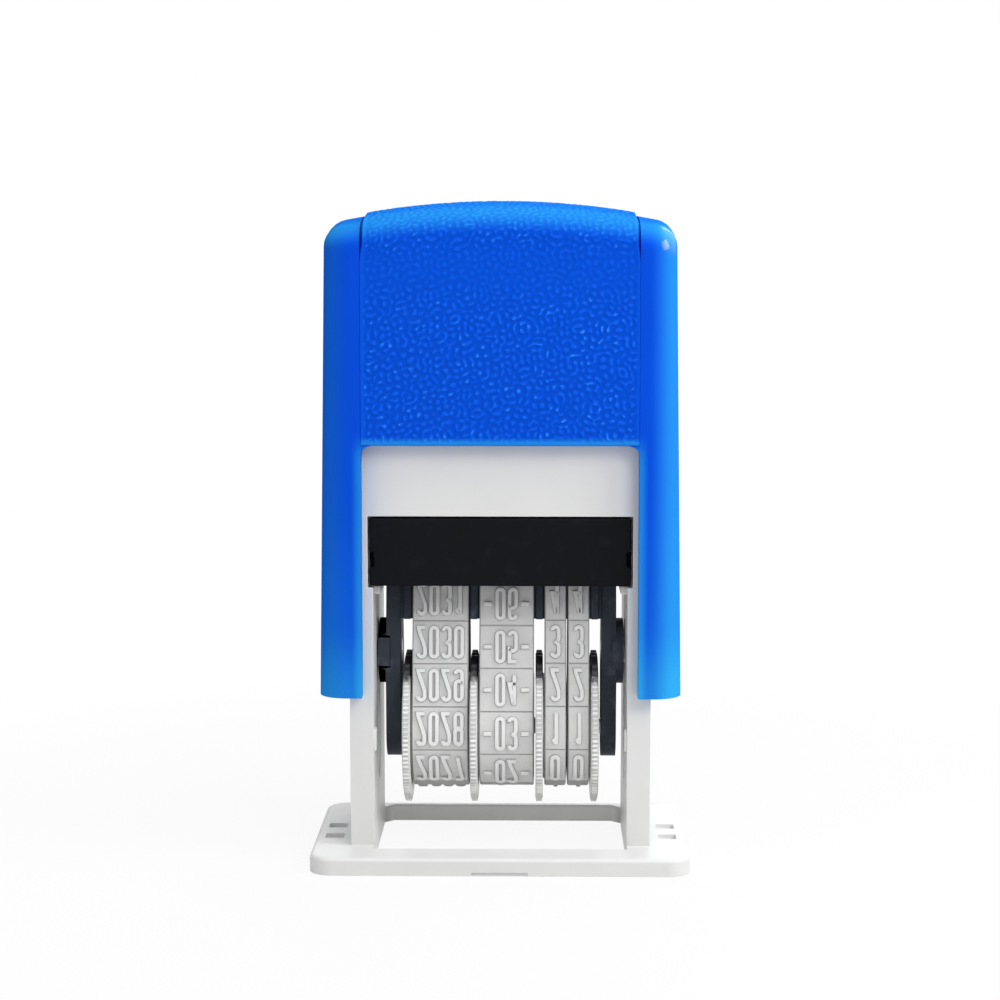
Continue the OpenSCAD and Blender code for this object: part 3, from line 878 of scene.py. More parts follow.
class STAMP_OT_cap_shell(PieceOperator, bpy.types.Operator):
    """Smooth blue moulding of the cap: two rails, its legs and the core under the grip"""

    bl_idname = "stamp.cap_shell"
    bl_label = "Cap shell"

    def make(self):
        core_bite, room = 0.4, 0.4
        shell = add_cap_form("cap_rails", RAIL_STEP, 0)
        cut(shell, add_box("seam_slab", (-SEAM_HALF, -FAR, WINDOW_TOP), (SEAM_HALF, FAR, 100)))
        core = add_cap_form("cap_core", GRIP_T, GRIP_T)
        combine(core, "INTERSECT", add_box("core_slab", (-SEAM_HALF - core_bite, -FAR, WINDOW_TOP - 2),
                                           (SEAM_HALF + core_bite, FAR, 100)))
        weld(shell, core)
        window = add_box("window", (-SEAM_HALF, -FAR, CAP_FOOT - 5), (SEAM_HALF, FAR, WINDOW_TOP))
        with editing(window, "EDGE") as mesh:
            pick(window, mesh.edges, lambda e: all(v.co.z > (WINDOW_TOP - 1) * MM for v in e.verts)
                 and abs(e.verts[0].co.x - e.verts[1].co.x) < MM)
            bpy.ops.mesh.bevel(offset=WINDOW_CORNER_R * MM, segments=8, affect="EDGES")
        hollow = add_box("hollow", (-CAP_IN, FRAME_FRONT - room, CAP_FOOT - 5),
                         (CAP_IN, FRAME_REAR + room, CAP_CEILING))
        cut(shell, hollow, window)
        for side in SIDES:
            cut(shell, cross_bar("pin_bore", PIN_R + 0.05, side * (CAP_IN - 1), side * (PIN_TIP + 0.05),
                                 PIVOT_Z, 48))
        flatten(shell)
        soften(shell, 0.28, 4, 38, self.on_seam)
        merged("cap_rails", shell, spigot(CAP_CEILING + WALL_BITE, CAP_CEILING - SPIGOT_H))
        dress(shell, rail_moulding(), "cap", "cap_shell")

    def on_seam(self, edge):
        """Whether an edge runs up the front or the rear along the grip."""
        return all(abs(abs(v.co.x) - SEAM_HALF * MM) < 0.05 * MM and v.co.z < (CAP_TOP - 3) * MM
                   and abs(v.co.y - FRAME_Y * MM) > (CAP_HALF_D - 0.1) * MM for v in edge.verts)


class STAMP_OT_grip_cover(PieceOperator, bpy.types.Operator):
    """Leather-grained saddle over the front, top and rear of the cap"""

    bl_idname = "stamp.grip_cover"
    bl_label = "Grip cover"

    half_w = SEAM_HALF - 0.02
    foot = WINDOW_TOP + 0.02
    lip = 0.3
    seam_lip = 0.05
    seam_open = 0.34
    rim = (0, 0.04, 0.12, 0.22, 0.34)
    waves = 11
    seed = 7

    def path(self, x, inset):
        """Section of the saddle at x, from the front's foot over the top to the rear's foot: (y, z)."""
        half_d = CAP_HALF_D - inset
        rim, climb, roll, lie = ((0,), 14, 6, 6) if inset else (self.rim, 146, 20, 56)
        shoulder = crown(x, FRAME_Y + half_d, inset) - TOP_EDGE_R
        rise = [self.foot + r for r in rim]
        start = rise[-1]
        rise += [start + (shoulder - start) * i / climb for i in range(1, climb + 1)]
        half = [(half_d, z) for z in rise]
        for i in range(1, roll + 1):
            turn = math.radians(90 * i / roll)
            d = half_d - TOP_EDGE_R * (1 - math.cos(turn))
            half.append((d, crown(x, FRAME_Y + d, inset) - TOP_EDGE_R * (1 - math.sin(turn))))
        flat = [(half_d - TOP_EDGE_R) * (1 - i / lie) for i in range(1, lie)]
        half += [(d, crown(x, FRAME_Y + d, inset)) for d in flat]
        return ([(FRAME_Y - d, z) for d, z in half] + [(FRAME_Y, crown(x, FRAME_Y, inset))]
                + [(FRAME_Y + d, z) for d, z in reversed(half)])

    def columns(self, inset):
        """Places across the stamp at which the saddle's section is drawn."""
        if inset:
            return [self.half_w * (i / 8 - 1) for i in range(17)]
        *rim, inner = [self.half_w - r for r in self.rim]
        return [-x for x in rim] + [inner * (i / 95 - 1) for i in range(191)] + rim[::-1]

    def sheet(self, name, inset):
        xs = self.columns(inset)
        rows = [self.path(x, inset) for x in xs]
        wide = len(rows[0])
        put_down()
        bpy.ops.mesh.primitive_grid_add(x_subdivisions=wide - 1, y_subdivisions=len(xs) - 1, size=MM)
        obj = added(name)
        for i, vert in enumerate(obj.data.vertices):
            column, row = divmod(i, wide)
            vert.co = mm(xs[column], *rows[column][row])
        return obj

    def make(self):
        outer = self.sheet("cap_grip", 0)
        self.pebble(outer)
        merged("cap_grip", outer, self.sheet("grip_lining", GRIP_T))
        with editing(outer, "EDGE") as mesh:
            pick(outer, mesh.edges, lambda e: e.is_boundary)
            bpy.ops.mesh.bridge_edge_loops()
            outward()
        take(outer)
        bpy.ops.object.shade_smooth_by_angle(angle=math.radians(50))
        dress(outer, grip_moulding(), "cap", "grip_cover")

    def lump(self, x, y, z):
        """Height of the grain from 0 to 1: waves of one length that cross in many directions."""
        size = sizes().grain_size / MM
        over = arched(x, z) + CAP_HALF_D - abs(y - FRAME_Y)
        v = over if y < FRAME_Y else 2 * (CAP_TOP + CAP_HALF_D) - over
        sway = noise.noise_vector(Vector((x, v, 0)) * 0.35)
        x, v = x + 0.5 * sway.x, v + 0.5 * sway.y
        total = 0.0
        for i in range(self.waves):
            way = math.pi * (i + 0.4 * math.sin(5.3 * i)) / self.waves
            reach = 2 * math.pi / size * (1 + 0.3 * math.sin(3.1 * i))
            total += math.cos(reach * (x * math.cos(way) + v * math.sin(way)) + 3.883 * i * i)
        rough = noise.noise(Vector((x, v, 7)) * 1.9 / size)
        return ease(total * math.sqrt(2 / self.waves) + 0.8 * rough, -0.4, 1.7)

    def pebble(self, sheet):
        """Raises the grain, rounds the sheet's rim and opens the seam towards the top."""
        depth = sizes().grain_depth
        rest = 0.3
        noise.seed_set(self.seed)
        take(sheet)
        normals = [vert.normal.copy() for vert in sheet.data.vertices]
        faces_in = sum(n.y for n, v in zip(normals, sheet.data.vertices) if v.co.y < 0) > 0
        grain = []
        for vert, normal in zip(sheet.data.vertices, normals):
            out = -normal if faces_in else normal
            x, y, z = (value / MM for value in vert.co)
            strength = 1 - 0.5 * ease(z, 65, 70) * (1 - ease(z, 72, 75))
            height = rest + (self.lump(x, y, z) - rest) * strength
            rims = ((self.half_w - abs(x), self.seam_lip), (z - WINDOW_TOP, self.lip))
            fade = ease(min(rims)[0], 0.1, 0.8)
            gaps = [(max(0.0, lip - max(0.0, edge)), lip) for edge, lip in rims]
            round_off = max(lip - math.sqrt(max(0.0, lip * lip - gap * gap)) for gap, lip in gaps)
            vert.co += out * ((height - 1) * depth * fade - round_off * MM)
            seam = self.seam_open * ease(arched(x, z), 73, 75.5) * abs(x / self.half_w) ** 24
            vert.co.x -= math.copysign(seam * MM, x)
            grain.append(0.5 + (height - 0.5) * fade)
        mark(sheet, "grain", grain)


class STAMP_OT_base_frame(PieceOperator, bpy.types.Operator):
    """White frame: base plate with its paper window, posts, webs, panels and the roof over the ink tray"""

    bl_idname = "stamp.base_frame"
    bl_label = "Base and frame"

    def make(self):
        plate = self.base()
        for side in SIDES:
            weld(plate, self.side_wall(side))
        half = FRAME_IN + 1
        weld(plate,
             add_box("front_panel", (-half, FRAME_FRONT, ROOF_Z), (half, FRAME_FRONT + PANEL_T, FRAME_TOP)),
             add_box("rear_panel", (-half, FRAME_REAR - PANEL_T, TRAY_Z), (half, FRAME_REAR, FRAME_TOP)),
             add_box("roof", (-half, FRAME_FRONT + 1, ROOF_Z), (half, FRAME_REAR - 1, SEAT_Z)))
        for side in SIDES:
            cut(plate, sided_box("tray_recess", side, (FRAME_IN - OVER, FRAME_FRONT - OVER, TRAY_Z - 0.2),
                                 (FRAME_IN + 0.6, FRAME_FRONT + PANEL_T, ROOF_Z)))
        flatten(plate)
        soften(plate)
        extras = []
        bite = FRAME_IN + WALL_BITE
        for side in SIDES:
            ledge = sided_box("ledge", side, (LEDGE_IN, FRAME_FRONT + PANEL_T, LEDGE_Z),
                              (bite, FRAME_REAR - 0.3, LEDGE_Z + 1))
            lug = sided_box("flip_lug", side, (LUG_IN, FRAME_FRONT + 0.3, LUG_LOW), (bite, LUG_REAR, LUG_HIGH))
            extras += [soften(ledge, 0.15), soften(lug, 0.15)]
        extras.append(spigot(SEAT_Z - 0.4, SEAT_Z + SPIGOT_H))
        merged("stamp_frame", plate, *extras)
        dress(plate, white_moulding(), "frame", "base_frame")

    def base(self):
        """Plate that stands on the paper, with its window, finger lift and clip slots."""
        _, (half_w, half_d, _) = box_mm("base_frame")
        outline = []
        for side, (sx, sy) in enumerate(((1, 1), (-1, 1), (-1, -1), (1, -1))):
            centre = sx * (half_w - BASE_CORNER_R), sy * (half_d - BASE_CORNER_R)
            outline += arc(centre, BASE_CORNER_R, 90 * side, 90 * side + 90, 10)
        plate = add_outline("stamp_frame", [(x, y, 0) for x, y in outline], (0, 0, BASE_T))
        with editing(plate, "EDGE") as mesh:
            pick(plate, mesh.edges, lambda e: all(v.co.z > BASE_T * MM * 0.9 for v in e.verts))
            bpy.ops.mesh.bevel(offset=BASE_EDGE_R * MM, segments=4, affect="EDGES")
        cut(plate, add_box("finger_lift", (-LIFT_HALF, -half_d - OVER, -OVER),
                           (LIFT_HALF, LIFT_D - half_d, LIFT_H)))
        right, front, rear, c = FRAME_IN, PAPER_FRONT, PAPER_REAR, PAPER_CHAMFER
        hole = [(-right, front), (right, front), (right, rear - c), (right - c, rear),
                (c - right, rear), (-right, rear - c)]
        cut(plate, add_outline("paper_window", [(x, y, -2) for x, y in hole], (0, 0, BASE_T + 4)))
        for side in SIDES:
            x = side * (FRAME_OUT + half_w) / 2
            for y in (FRAME_Y, FRAME_Y - SLOT_STEP):
                cut(plate, add_box("clip_slot", (x - SLOT_HALF, y - SLOT_HALF, BASE_T - SLOT_D),
                                   (x + SLOT_HALF, y + SLOT_HALF, BASE_T + OVER)))
        return plate

    def side_wall(self, side):
        """Two posts and the web between them, with the upright slot that a pivot pin travels in."""
        inner, web, outer = FRAME_IN, FRAME_IN + WEB_T, FRAME_OUT
        front, rear = FRAME_FRONT, FRAME_REAR
        outline = [(inner, front), (outer, front), (outer, front + POST_D), (web, front + POST_D),
                   (web, rear - POST_D), (outer, rear - POST_D), (outer, rear), (inner, rear)]
        wall = add_outline("side_wall", [(side * x, y, BASE_T - 0.5) for x, y in outline],
                           (0, 0, FRAME_TOP - BASE_T + 0.5))
        r = PIN_R + 0.15
        slot = arc((FRAME_Y, PIVOT_Z), r, 0, 180, 16) + arc((FRAME_Y, PIVOT_Z - TRAVEL), r, 180, 360, 16)
        start = min(side * (inner - OVER), side * (web + OVER))
        return cut(wall, add_outline("pin_slot", [(start, y, z) for y, z in slot], (WEB_T + 2 * OVER, 0, 0)))


class STAMP_OT_ink_cartridge(PieceOperator, bpy.types.Operator):
    """Black ink tray with its finger notches, and the felt pad in it"""

    bl_idname = "stamp.ink_cartridge"
    bl_label = "Ink cartridge"

    def make(self):
        _, (half, rear, top) = box_mm("ink_tray")
        low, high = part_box("ink_pad")
        body = FRAME_IN - 0.4
        well, plate_rear = body - TRAY_WALL, FRAME_FRONT + TRAY_PLATE_T
        tray = add_box("ink_tray_body", (-half, FRAME_FRONT, TRAY_Z), (half, plate_rear, top))
        for side in SIDES:
            x = side * half
            cut(tray, add_box("notch", (x - NOTCH_D, FRAME_FRONT - OVER, TRAY_Z + NOTCH_LOW),
                              (x + NOTCH_D, plate_rear - SLIP, TRAY_Z + NOTCH_HIGH)))
        weld(tray, add_box("tray_body", (-body, FRAME_FRONT + 1, TRAY_Z), (body, rear, top)))
        cut(tray,
            add_box("well", (-well, plate_rear, TRAY_Z - 2), (well, rear - TRAY_WALL, high.z / MM)),
            add_box("rear_gap", (-well, rear - 3, TRAY_Z - 2), (well, rear + 2, low.z / MM + 0.2)))
        flatten(tray)
        soften(tray, 0.2)
        dress(tray, tray_black(), "ink_cartridge", "ink_tray")
        pad = self.pad(low, high)
        dress(pad, inked_felt(), "ink_cartridge", "ink_pad")

    def pad(self, low, high):
        """Felt slab whose lower face swells a little and sinks towards its rim."""
        sunk, fuzz, room = 0.18 * MM, 0.05 * MM, 0.05 * MM
        pad = add_box("ink_felt_pad", low / MM, high / MM)
        with editing(pad, "EDGE", everything=True):
            bpy.ops.mesh.bevel(offset=0.5 * MM, segments=3, affect="EDGES")
        with editing(pad, everything=True):
            bpy.ops.mesh.subdivide(number_cuts=24)
        mid = (low + high) / 2
        for vert in pad.data.vertices:
            if vert.co.z < mid.z:
                across = (vert.co.x - mid.x) / (high.x - mid.x)
                along = (vert.co.y - mid.y) / (high.y - mid.y)
                sink = 1 - (1 - across ** 4) * (1 - along ** 4)
                vert.co.z += sunk * sink + fuzz * noise.noise(vert.co * 2200) + room
        take(pad)
        bpy.ops.object.shade_smooth()
        return pad


class STAMP_OT_carriage(PieceOperator, bpy.types.Operator):
    """Black carriage: two side cheeks with their hubs, and the platen that the bands run over"""

    bl_idname = "stamp.carriage"
    bl_label = "Carriage"

    def make(self):
        waist, pivot = HUB_R - 0.4, PIVOT_Z - SHAFT_Z
        outline = arc((0, 0), CHEEK_FOOT_R, 180, 360, 24) + [
            (waist, pivot), (CHEEK_TOP_HALF, CHEEK_TOP), (-CHEEK_TOP_HALF, CHEEK_TOP), (-waist, pivot)]
        right = add_section("cheek_right", outline, CHEEK_IN, CHEEK_OUT)
        weld(right, cross_bar("hub", HUB_R, CHEEK_OUT - 0.5, HUB_OUT, PIVOT_Z))
        start, end = CHEEK_IN - OVER, HUB_OUT + OVER
        for hole in (cross_bar("pin_hole", PIN_R + SLIP, start, end, PIVOT_Z),
                     cross_bar("shaft_hole", SHAFT_R + SLIP, start, end, SHAFT_Z),
                     self.tenon("tenon_hole", start, CHEEK_OUT + OVER, SLIP),
                     cross_bar("clip_recess", CLIP_R + 0.3, CLIP_X - 0.05, end, SHAFT_Z)):
            cut(right, hole)
        flatten(right)
        soften(right, 0.22)
        left = mirrored(right, "cheek_left")
        platen = weld(self.loop_top("type_platen", -SLIP, -CHEEK_IN, CHEEK_IN),
                      self.tenon("tenon", -CHEEK_OUT, CHEEK_OUT, 0))
        flatten(platen)
        soften(platen, 0.15, 2)
        fins = [soften(flatten(self.loop_top("divider", BAND_T - 0.3, x0, x1)), 0.12, 2)
                for x0, x1 in DISC_PLACES.values()]
        merged("type_platen", platen, *fins)
        for obj, node in ((right, "right_cheek"), (left, "left_cheek"), (platen, "platen")):
            dress(obj, carriage_black(), "carriage", node)

    def tenon(self, name, x0, x1, room):
        """Bar that holds the platen in the cheeks, or the hole for it."""
        half = TENON_HALF + room
        return add_box(name, (x0, FRAME_Y - half, SHAFT_Z + TENON_LOW - room),
                       (x1, FRAME_Y + half, SHAFT_Z + TENON_HIGH + room))

    def loop_top(self, name, t, x0, x1):
        """Upper part of the band loop, t outside the band's inner face, from x0 to x1."""
        whole = add_section(name, loop_outline(t), x0, x1)
        return cut(whole, add_box("below", (x0 - OVER, -FAR, -FAR / 2), (x1 + OVER, FAR, SHAFT_Z + PLATEN_Z)))


class STAMP_OT_hardware(PieceOperator, bpy.types.Operator):
    """Steel wheel shaft with its two clips, and the two pivot pins"""

    bl_idname = "stamp.hardware"
    bl_label = "Shaft, clips and pins"

    steps = 48

    def make(self):
        clip_end = CLIP_X + CLIP_T
        shaft_end = clip_end + 0.15
        shaft = self.bar("dial_shaft", SHAFT_R, -shaft_end, shaft_end)
        for side in SIDES:
            x0, x1 = sorted((side * CLIP_X, side * clip_end))
            ring = self.bar("groove", SHAFT_R + OVER, x0, x1)
            cut(shaft, cut(ring, self.bar("core", GROOVE_R, x0 - OVER, x1 + OVER)))
        soften(shaft, 0.05, 2)
        clip = self.bar("clip_right", CLIP_R, CLIP_X, clip_end)
        start, end = CLIP_X - OVER, CLIP_X + 2 * OVER
        cut(clip, self.bar("eye", GROOVE_R + SLIP, start, end))
        cut(clip, add_box("mouth", (start, FRAME_Y - CLIP_MOUTH_HALF, SHAFT_Z - 2 * CLIP_R),
                          (end, FRAME_Y + CLIP_MOUTH_HALF, SHAFT_Z)))
        soften(clip, 0.04, 2)
        pair = merged("dial_clips", clip, mirrored(clip, "clip_left"))
        pin = soften(cross_bar("pivot_pin_steel_right", PIN_R, CHEEK_IN, PIN_TIP, PIVOT_Z, self.steps), 0.2)
        twin = mirrored(pin, "pivot_pin_steel_left")
        for obj, node in ((shaft, "wheel_shaft"), (pair, "shaft_clips"), (pin, "right_pivot_pin"),
                          (twin, "left_pivot_pin")):
            dress(obj, bright_steel(), "carriage", node)

    def bar(self, name, radius, x0, x1):
        """Round bar on the wheel shaft's line."""
        return cross_bar(name, radius, x0, x1, SHAFT_Z, self.steps)


class STAMP_OT_bands(PieceOperator, bpy.types.Operator):
    """Rubber date bands with their raised characters"""

    bl_idname = "stamp.bands"
    bl_label = "Date bands"

    stroke_half = 0.23
    bow_r = 0.4
    foot = 0.1
    letter_pitch = 1.5
    creep = (0.0, -0.55, 0.1, 0.1)

    def make(self):
        self.glyphs = {character: self.glyph(character) for character in "0123456789-"}
        rows = [row - TYPE_ROWS // 2 for row in range(TYPE_ROWS)]
        years = [str(2032 - row) for row in rows]
        months = ["-%02d-" % ((6 - row) % 12 + 1) for row in rows]
        days = [str((5 - row) % 10) for row in rows]
        for name, words, creep in zip(DIALS, (years, months, days, days), self.creep):
            self.band(name, words, creep)
        for glyph in self.glyphs.values():
            bpy.data.objects.remove(glyph)

    def strokes(self, character):
        """Middle lines of an upright character's strokes, closed where the last point meets the first."""
        a = self.bow_r
        b = sizes().type_height / MM / 2 - self.stroke_half
        over = arc((0, b - a), a, 180, 0, 8)
        under = arc((0, a - b), a, 0, -180, 8)
        six = [arc((0, b - a), a, 0, 180, 8) + arc((0, a - b), a, 180, 360, 8) + arc((0, 0.1), a, 0, 180, 8)]
        lines = {
            "0": [over + under + over[:1]],
            "1": [[(0.1, b), (0.1, -b)], [(-0.32, b - 0.55), (0.08, b - 0.1)]],
            "2": [over + [(a, 0.75), (0.2, 0.1), (0.06 - a, 0.32 - b), (-a, -b), (a, -b)]],
            "3": [over + [(a, 0.45), (0.2, 0.06), (-0.12, 0.06)], [(0.2, 0.06), (a, -0.35)] + under],
            "4": [[(0.2, -b), (0.2, b)], [(0.1, b - 0.1), (-a, -0.7), (0.46, -0.7)]],
            "5": [[(a, b), (-a, b), (-a, 0.2)] + arc((0, 0.1), a, 165, 0, 7) + under],
            "6": six,
            "7": [[(-a, b), (a - 0.08, b), (a, b - 0.3), (-0.12, -b)]],
            "8": [over + arc((0, 0.32), a, 0, -180, 8) + over[:1],
                  arc((0, -0.32), a, 180, 0, 8) + under + [(-a, -0.32)]],
            "9": [[(-x, -y) for x, y in line] for line in six],
            "-": [[(-0.46, 0), (0.46, 0)]],
        }
        return lines[character]

    def glyph(self, character):
        """One raised character, lying flat and centred, with its foot under the plate's face."""
        high, foot = sizes().type_relief / MM, self.foot
        w, flare, edge, drop = self.stroke_half, 0.1, 0.05, 0.07
        half = [(w + flare, foot), (w, high - drop), (w - edge, high)]
        section = [(-o, lift) for o, lift in half] + half[::-1]
        letter = merged("glyph_" + character, *[self.sweep(line, section) for line in self.strokes(character)])
        mark(letter, "relief", [(vert.co.z / MM - foot) / (high - foot) for vert in letter.data.vertices])
        return letter

    def sweep(self, line, section):
        """A stroke of one section drawn along a line."""
        step, widest = 0.6, 1.6
        points = [line[0]]
        for (x0, y0), (x1, y1) in zip(line, line[1:]):
            steps = math.ceil(math.hypot(x1 - x0, y1 - y0) / step)
            points += [(x0 + (x1 - x0) * i / steps, y0 + (y1 - y0) * i / steps) for i in range(1, steps + 1)]
        ring_shaped = math.dist(points[0], points[-1]) < 0.001
        ways = [(Vector(b) - Vector(a)).normalized() for a, b in zip(points, points[1:])]
        before = [ways[-1] if ring_shaped else ways[0]] + ways
        after = ways + [ways[0] if ring_shaped else ways[-1]]
        rings = []
        for (x, y), back, ahead in zip(points, before, after):
            way = (back + ahead).normalized()
            wide = min(widest, 1 / max(0.3, way.dot(ahead)))
            rings.append([(x - way.y * o * wide, y + way.x * o * wide, lift) for o, lift in section])
        bar = add_stack("stroke", rings)
        if ring_shaped:
            with editing(bar) as mesh:
                pick(bar, mesh.faces, lambda face: len(face.verts) == len(section))
                bpy.ops.mesh.delete(type="FACE")
                bpy.ops.mesh.select_all(action="SELECT")
                bpy.ops.mesh.remove_doubles(threshold=0.002 * MM)
                outward()
        return bar

    def band(self, name, words, creep):
        """One band with its lines of type, crept along from a whole line."""
        (x0, _, _), (x1, _, _) = box_mm(name + "_band")
        band = add_section("rubber_band_" + name, loop_outline(BAND_T), x0, x1)
        cut(band, add_section("inside", loop_outline(0), x0 - OVER, x1 + OVER))
        soften(band, 0.15, 2, 50)
        letters = []
        for row, word in enumerate(words):
            s = (TYPE_ROWS // 2 - row) * TYPE_PITCH + creep
            letters.append(self.plate(x0, x1, s))
            pitch = min(self.letter_pitch, (x1 - x0) / len(word))
            for i, character in enumerate(word):
                x = (x0 + x1) / 2 + (i - (len(word) - 1) / 2) * pitch
                letters.append(self.set_glyph(character, x, s))
        merged("rubber_band_" + name, band, *letters)
        dress(band, rubber_bands(), "carriage", name + "_band")

    def bend(self, obj, place):
        """Lays the points of a flat object on a band, by place, and turns its faces outwards."""
        for vert in obj.data.vertices:
            vert.co = mm(*on_band(*place(*(vert.co / MM))))
        with editing(obj, everything=True):
            outward()

    def plate(self, x0, x1, s):
        """Low block that a line of type stands on."""
        block = add_box("plate", (x0 + PLATE_GAP, -PLATE_HALF, -self.foot),
                        (x1 - PLATE_GAP, PLATE_HALF, PLATE_H))
        with editing(block, "EDGE"):
            for cut_at in (-1.8, -1.2, -0.6, 0, 0.6, 1.2, 1.8):
                bpy.ops.mesh.select_all(action="SELECT")
                bpy.ops.mesh.bisect(plane_co=mm(0, cut_at, 0), plane_no=(0, 1, 0))
        self.bend(block, lambda x, along, lift: (x, s + along, lift))
        soften(block, 0.06, 2, 50)
        mark(block, "relief", [0.25] * len(block.data.vertices))
        return block

    def set_glyph(self, character, x, s):
        """A copy of a character, bent to its band: it stands head down, as type that prints upright does."""
        letter = copy_of(self.glyphs[character], "letter")
        self.bend(letter, lambda across, up, lift: (x + across, s - up, lift))
        return shade(letter, 35)


class STAMP_OT_wheels(PieceOperator, bpy.types.Operator):
    """White thumb discs with fine teeth, each on the drum that drives its band"""

    bl_idname = "stamp.wheels"
    bl_label = "Date wheels"

    def make(self):
        for name in DIALS:
            (low, _, _), (high, _, _) = box_mm(name + "_wheel")
            disc = self.disc("dial_disc_" + name, *DISC_PLACES[name])
            weld(disc, soften(cross_bar("drum", BAND_R - 0.15, low, high, SHAFT_Z, 72), 0.12, 2))
            cut(disc, cross_bar("bore", SHAFT_R + 0.05, low - OVER, high + OVER, SHAFT_Z, 40))
            shade(disc, 32)
            dress(disc, disc_moulding(), name + "_dial", name + "_wheel")

    def disc(self, name, x0, x1):
        """Disc with a raised middle on both faces and teeth round its rim."""
        centre = mm((x0 + x1) / 2, FRAME_Y, SHAFT_Z)
        teeth = sizes().tooth_count
        steps = 4 * teeth
        disc = cross_bar(name, DISC_R, x0 + DISC_RIM, x1 - DISC_RIM, SHAFT_Z, steps)
        with editing(disc) as mesh:
            pick(disc, mesh.faces, lambda face: abs(face.normal.x) > 0.9)
            bpy.ops.mesh.inset(thickness=DISC_RIM_W * MM, use_individual=True)
            for side in SIDES:
                mesh = bmesh.from_edit_mesh(disc.data)
                pick(disc, mesh.faces, lambda face: face.normal.x * side > 0.9 and len(face.verts) == steps)
                bpy.ops.transform.translate(value=(side * DISC_RIM * MM, 0, 0))

        def in_gap(vert):
            arm = vert.co - centre
            turn = math.atan2(arm.z, arm.y) / (2 * math.pi) * teeth
            return math.hypot(arm.y, arm.z) > (DISC_R - 0.1) * MM and (turn % 1.0) > 0.49

        with editing(disc, "VERT") as mesh:
            pick(disc, mesh.verts, in_gap)
            shrink = 1 - sizes().tooth_depth / (DISC_R * MM)
            bpy.ops.transform.resize(value=(1, shrink, shrink), center_override=centre)
        return disc


class STAMP_OT_spring(PieceOperator, bpy.types.Operator):
    """Return spring between the frame's roof and the cap's ceiling"""

    bl_idname = "stamp.spring"
    bl_label = "Return spring"

    steps = 40

    def make(self):
        low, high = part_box("return_spring")
        wire, turns = sizes().wire_radius, sizes().spring_turns
        put_down()
        bpy.ops.mesh.primitive_circle_add(
            vertices=12, radius=wire, location=mm(SPRING_R, 0, 0), rotation=(math.pi / 2, 0, 0))
        coil = added("cap_spring")
        use(coil, "SCREW", axis="Z", angle=2 * math.pi, screw_offset=1.0, iterations=turns, steps=self.steps,
            render_steps=self.steps, use_merge_vertices=False, use_normal_calculate=True)
        foot, head = low.z + wire, high.z - wire
        closed = 2 * wire + 0.5 * MM
        pitch = (head - foot - 2 * closed) / (turns - 2)
        for vert in coil.data.vertices:
            turn = max(0.0, min(turns, round(vert.co.z * self.steps) / self.steps))
            ends = min(turn, 1) + max(0, turn - turns + 1)
            rise = closed * ends + pitch * max(0, min(turn - 1, turns - 2))
            vert.co.z += foot + rise - turn
            vert.co.y += FRAME_Y * MM
        with editing(coil, "EDGE") as mesh:
            pick(coil, mesh.edges, lambda e: e.is_boundary)
            bpy.ops.mesh.edge_face_add()
            outward()
        shade(coil, 50)
        dress(coil, bright_steel(), "frame", "return_spring")
        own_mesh(coil)


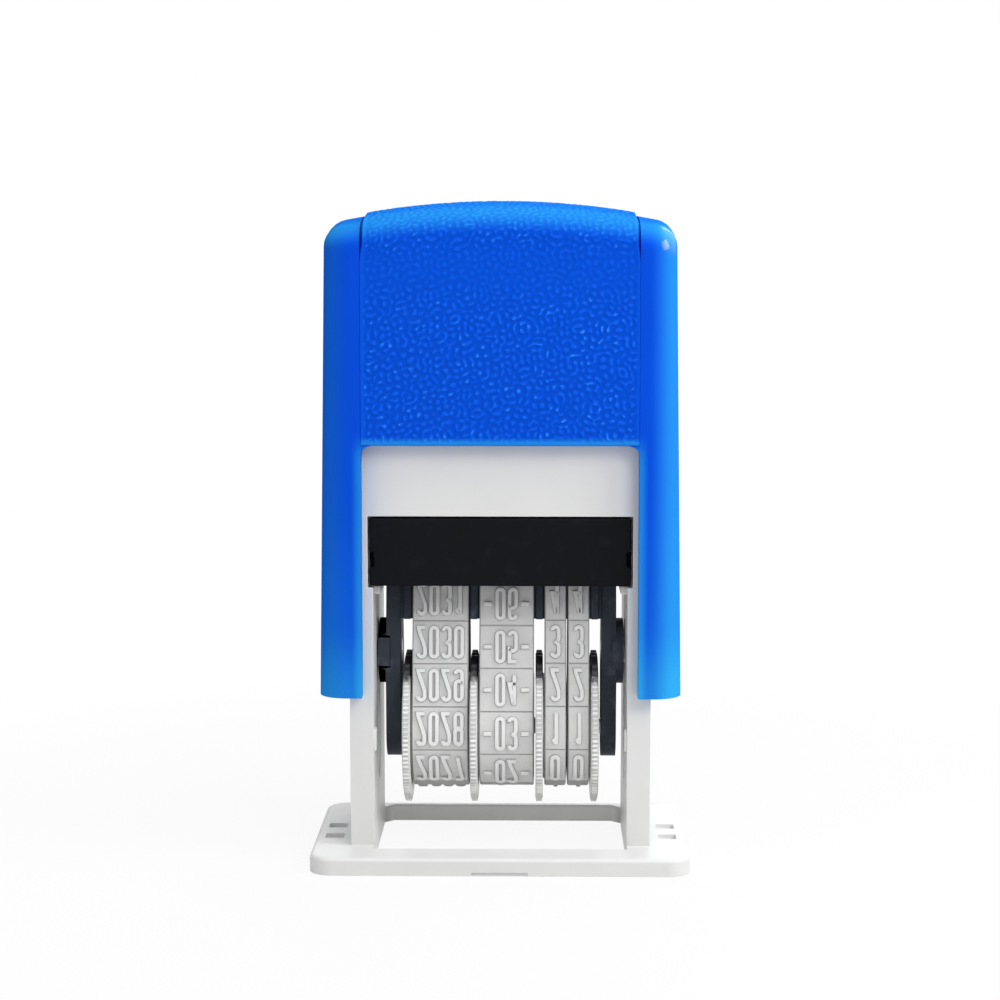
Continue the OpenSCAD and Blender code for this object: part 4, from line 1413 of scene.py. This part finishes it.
class STAMP_OT_stage(PieceOperator, bpy.types.Operator):
    """White floor, soft studio lamps and the camera"""

    bl_idname = "stamp.stage"
    bl_label = "Stage"

    def make(self):
        put_down()
        bpy.ops.mesh.primitive_plane_add(size=FLOOR_SIZE)
        floor = added("floor")
        floor.data.materials.append(floor_white())
        self.world()
        for name, (place, size, power) in LAMPS.items():
            bpy.ops.object.light_add(type="AREA", location=mm(*place))
            lamp = self.aimed(name)
            lamp.size = size
            lamp.energy = power
        bpy.ops.object.camera_add(location=mm(*CAMERA_PLACE))
        scene = bpy.context.scene
        scene.camera = bpy.context.object
        camera = self.aimed("photo_camera")
        camera.lens = CAMERA_LENS
        camera.sensor_width = 36
        camera.clip_start = 0.01
        scene.view_settings.view_transform = "Standard"

    def aimed(self, name):
        """Names the lamp or camera just added, turns it to the stamp and gives its settings."""
        obj = bpy.context.object
        obj.name = name
        obj.rotation_euler = (mm(*AIM) - obj.location).to_track_quat("-Z", "Y").to_euler()
        return obj.data

    def world(self):
        """White where it is seen, and a soft light all round."""
        world = bpy.data.worlds.new("studio")
        bpy.context.scene.world = world
        world.use_nodes = True
        tree = world.node_tree
        tree.nodes.clear()
        start = Signal(tree)
        strength = seen(start) * (1 - SKY_LIGHT) + SKY_LIGHT
        sky = start.add("ShaderNodeBackground", None, {"Color": (1, 1, 1, 1), "Strength": strength})
        output = tree.nodes.new("ShaderNodeOutputWorld")
        tree.links.new(sky.socket, output.inputs["Surface"])


PIECES = (STAMP_OT_stage, STAMP_OT_base_frame, STAMP_OT_ink_cartridge, STAMP_OT_carriage, STAMP_OT_hardware,
          STAMP_OT_bands, STAMP_OT_wheels, STAMP_OT_spring, STAMP_OT_cap_shell, STAMP_OT_grip_cover)


class STAMP_PT_pieces(bpy.types.Panel):
    """The stamp's pieces, sizes and colours"""

    bl_idname = "STAMP_PT_pieces"
    bl_label = "Date stamp"
    bl_space_type = "VIEW_3D"
    bl_region_type = "UI"
    bl_category = "Date stamp"

    def draw(self, context):
        column = self.layout.column()
        for piece in PIECES:
            column.operator(piece.bl_idname)
        for group in (context.scene.stamp_sizes, context.scene.stamp_colours):
            for name in group.bl_rna.properties.keys():
                if name not in ("rna_type", "name"):
                    column.prop(group, name)


CLASSES = (StampSizes, StampColours) + PIECES + (STAMP_PT_pieces,)


def register():
    for cls in CLASSES:
        bpy.utils.register_class(cls)
    bpy.types.Scene.stamp_sizes = PointerProperty(type=StampSizes)
    bpy.types.Scene.stamp_colours = PointerProperty(type=StampColours)


def unregister():
    del bpy.types.Scene.stamp_colours
    del bpy.types.Scene.stamp_sizes
    for cls in reversed(CLASSES):
        bpy.utils.unregister_class(cls)


def main():
    register()
    for piece in PIECES:
        group, name = piece.bl_idname.split(".")
        getattr(getattr(bpy.ops, group), name)()
    put_down()


if __name__ == "__main__":
    main()
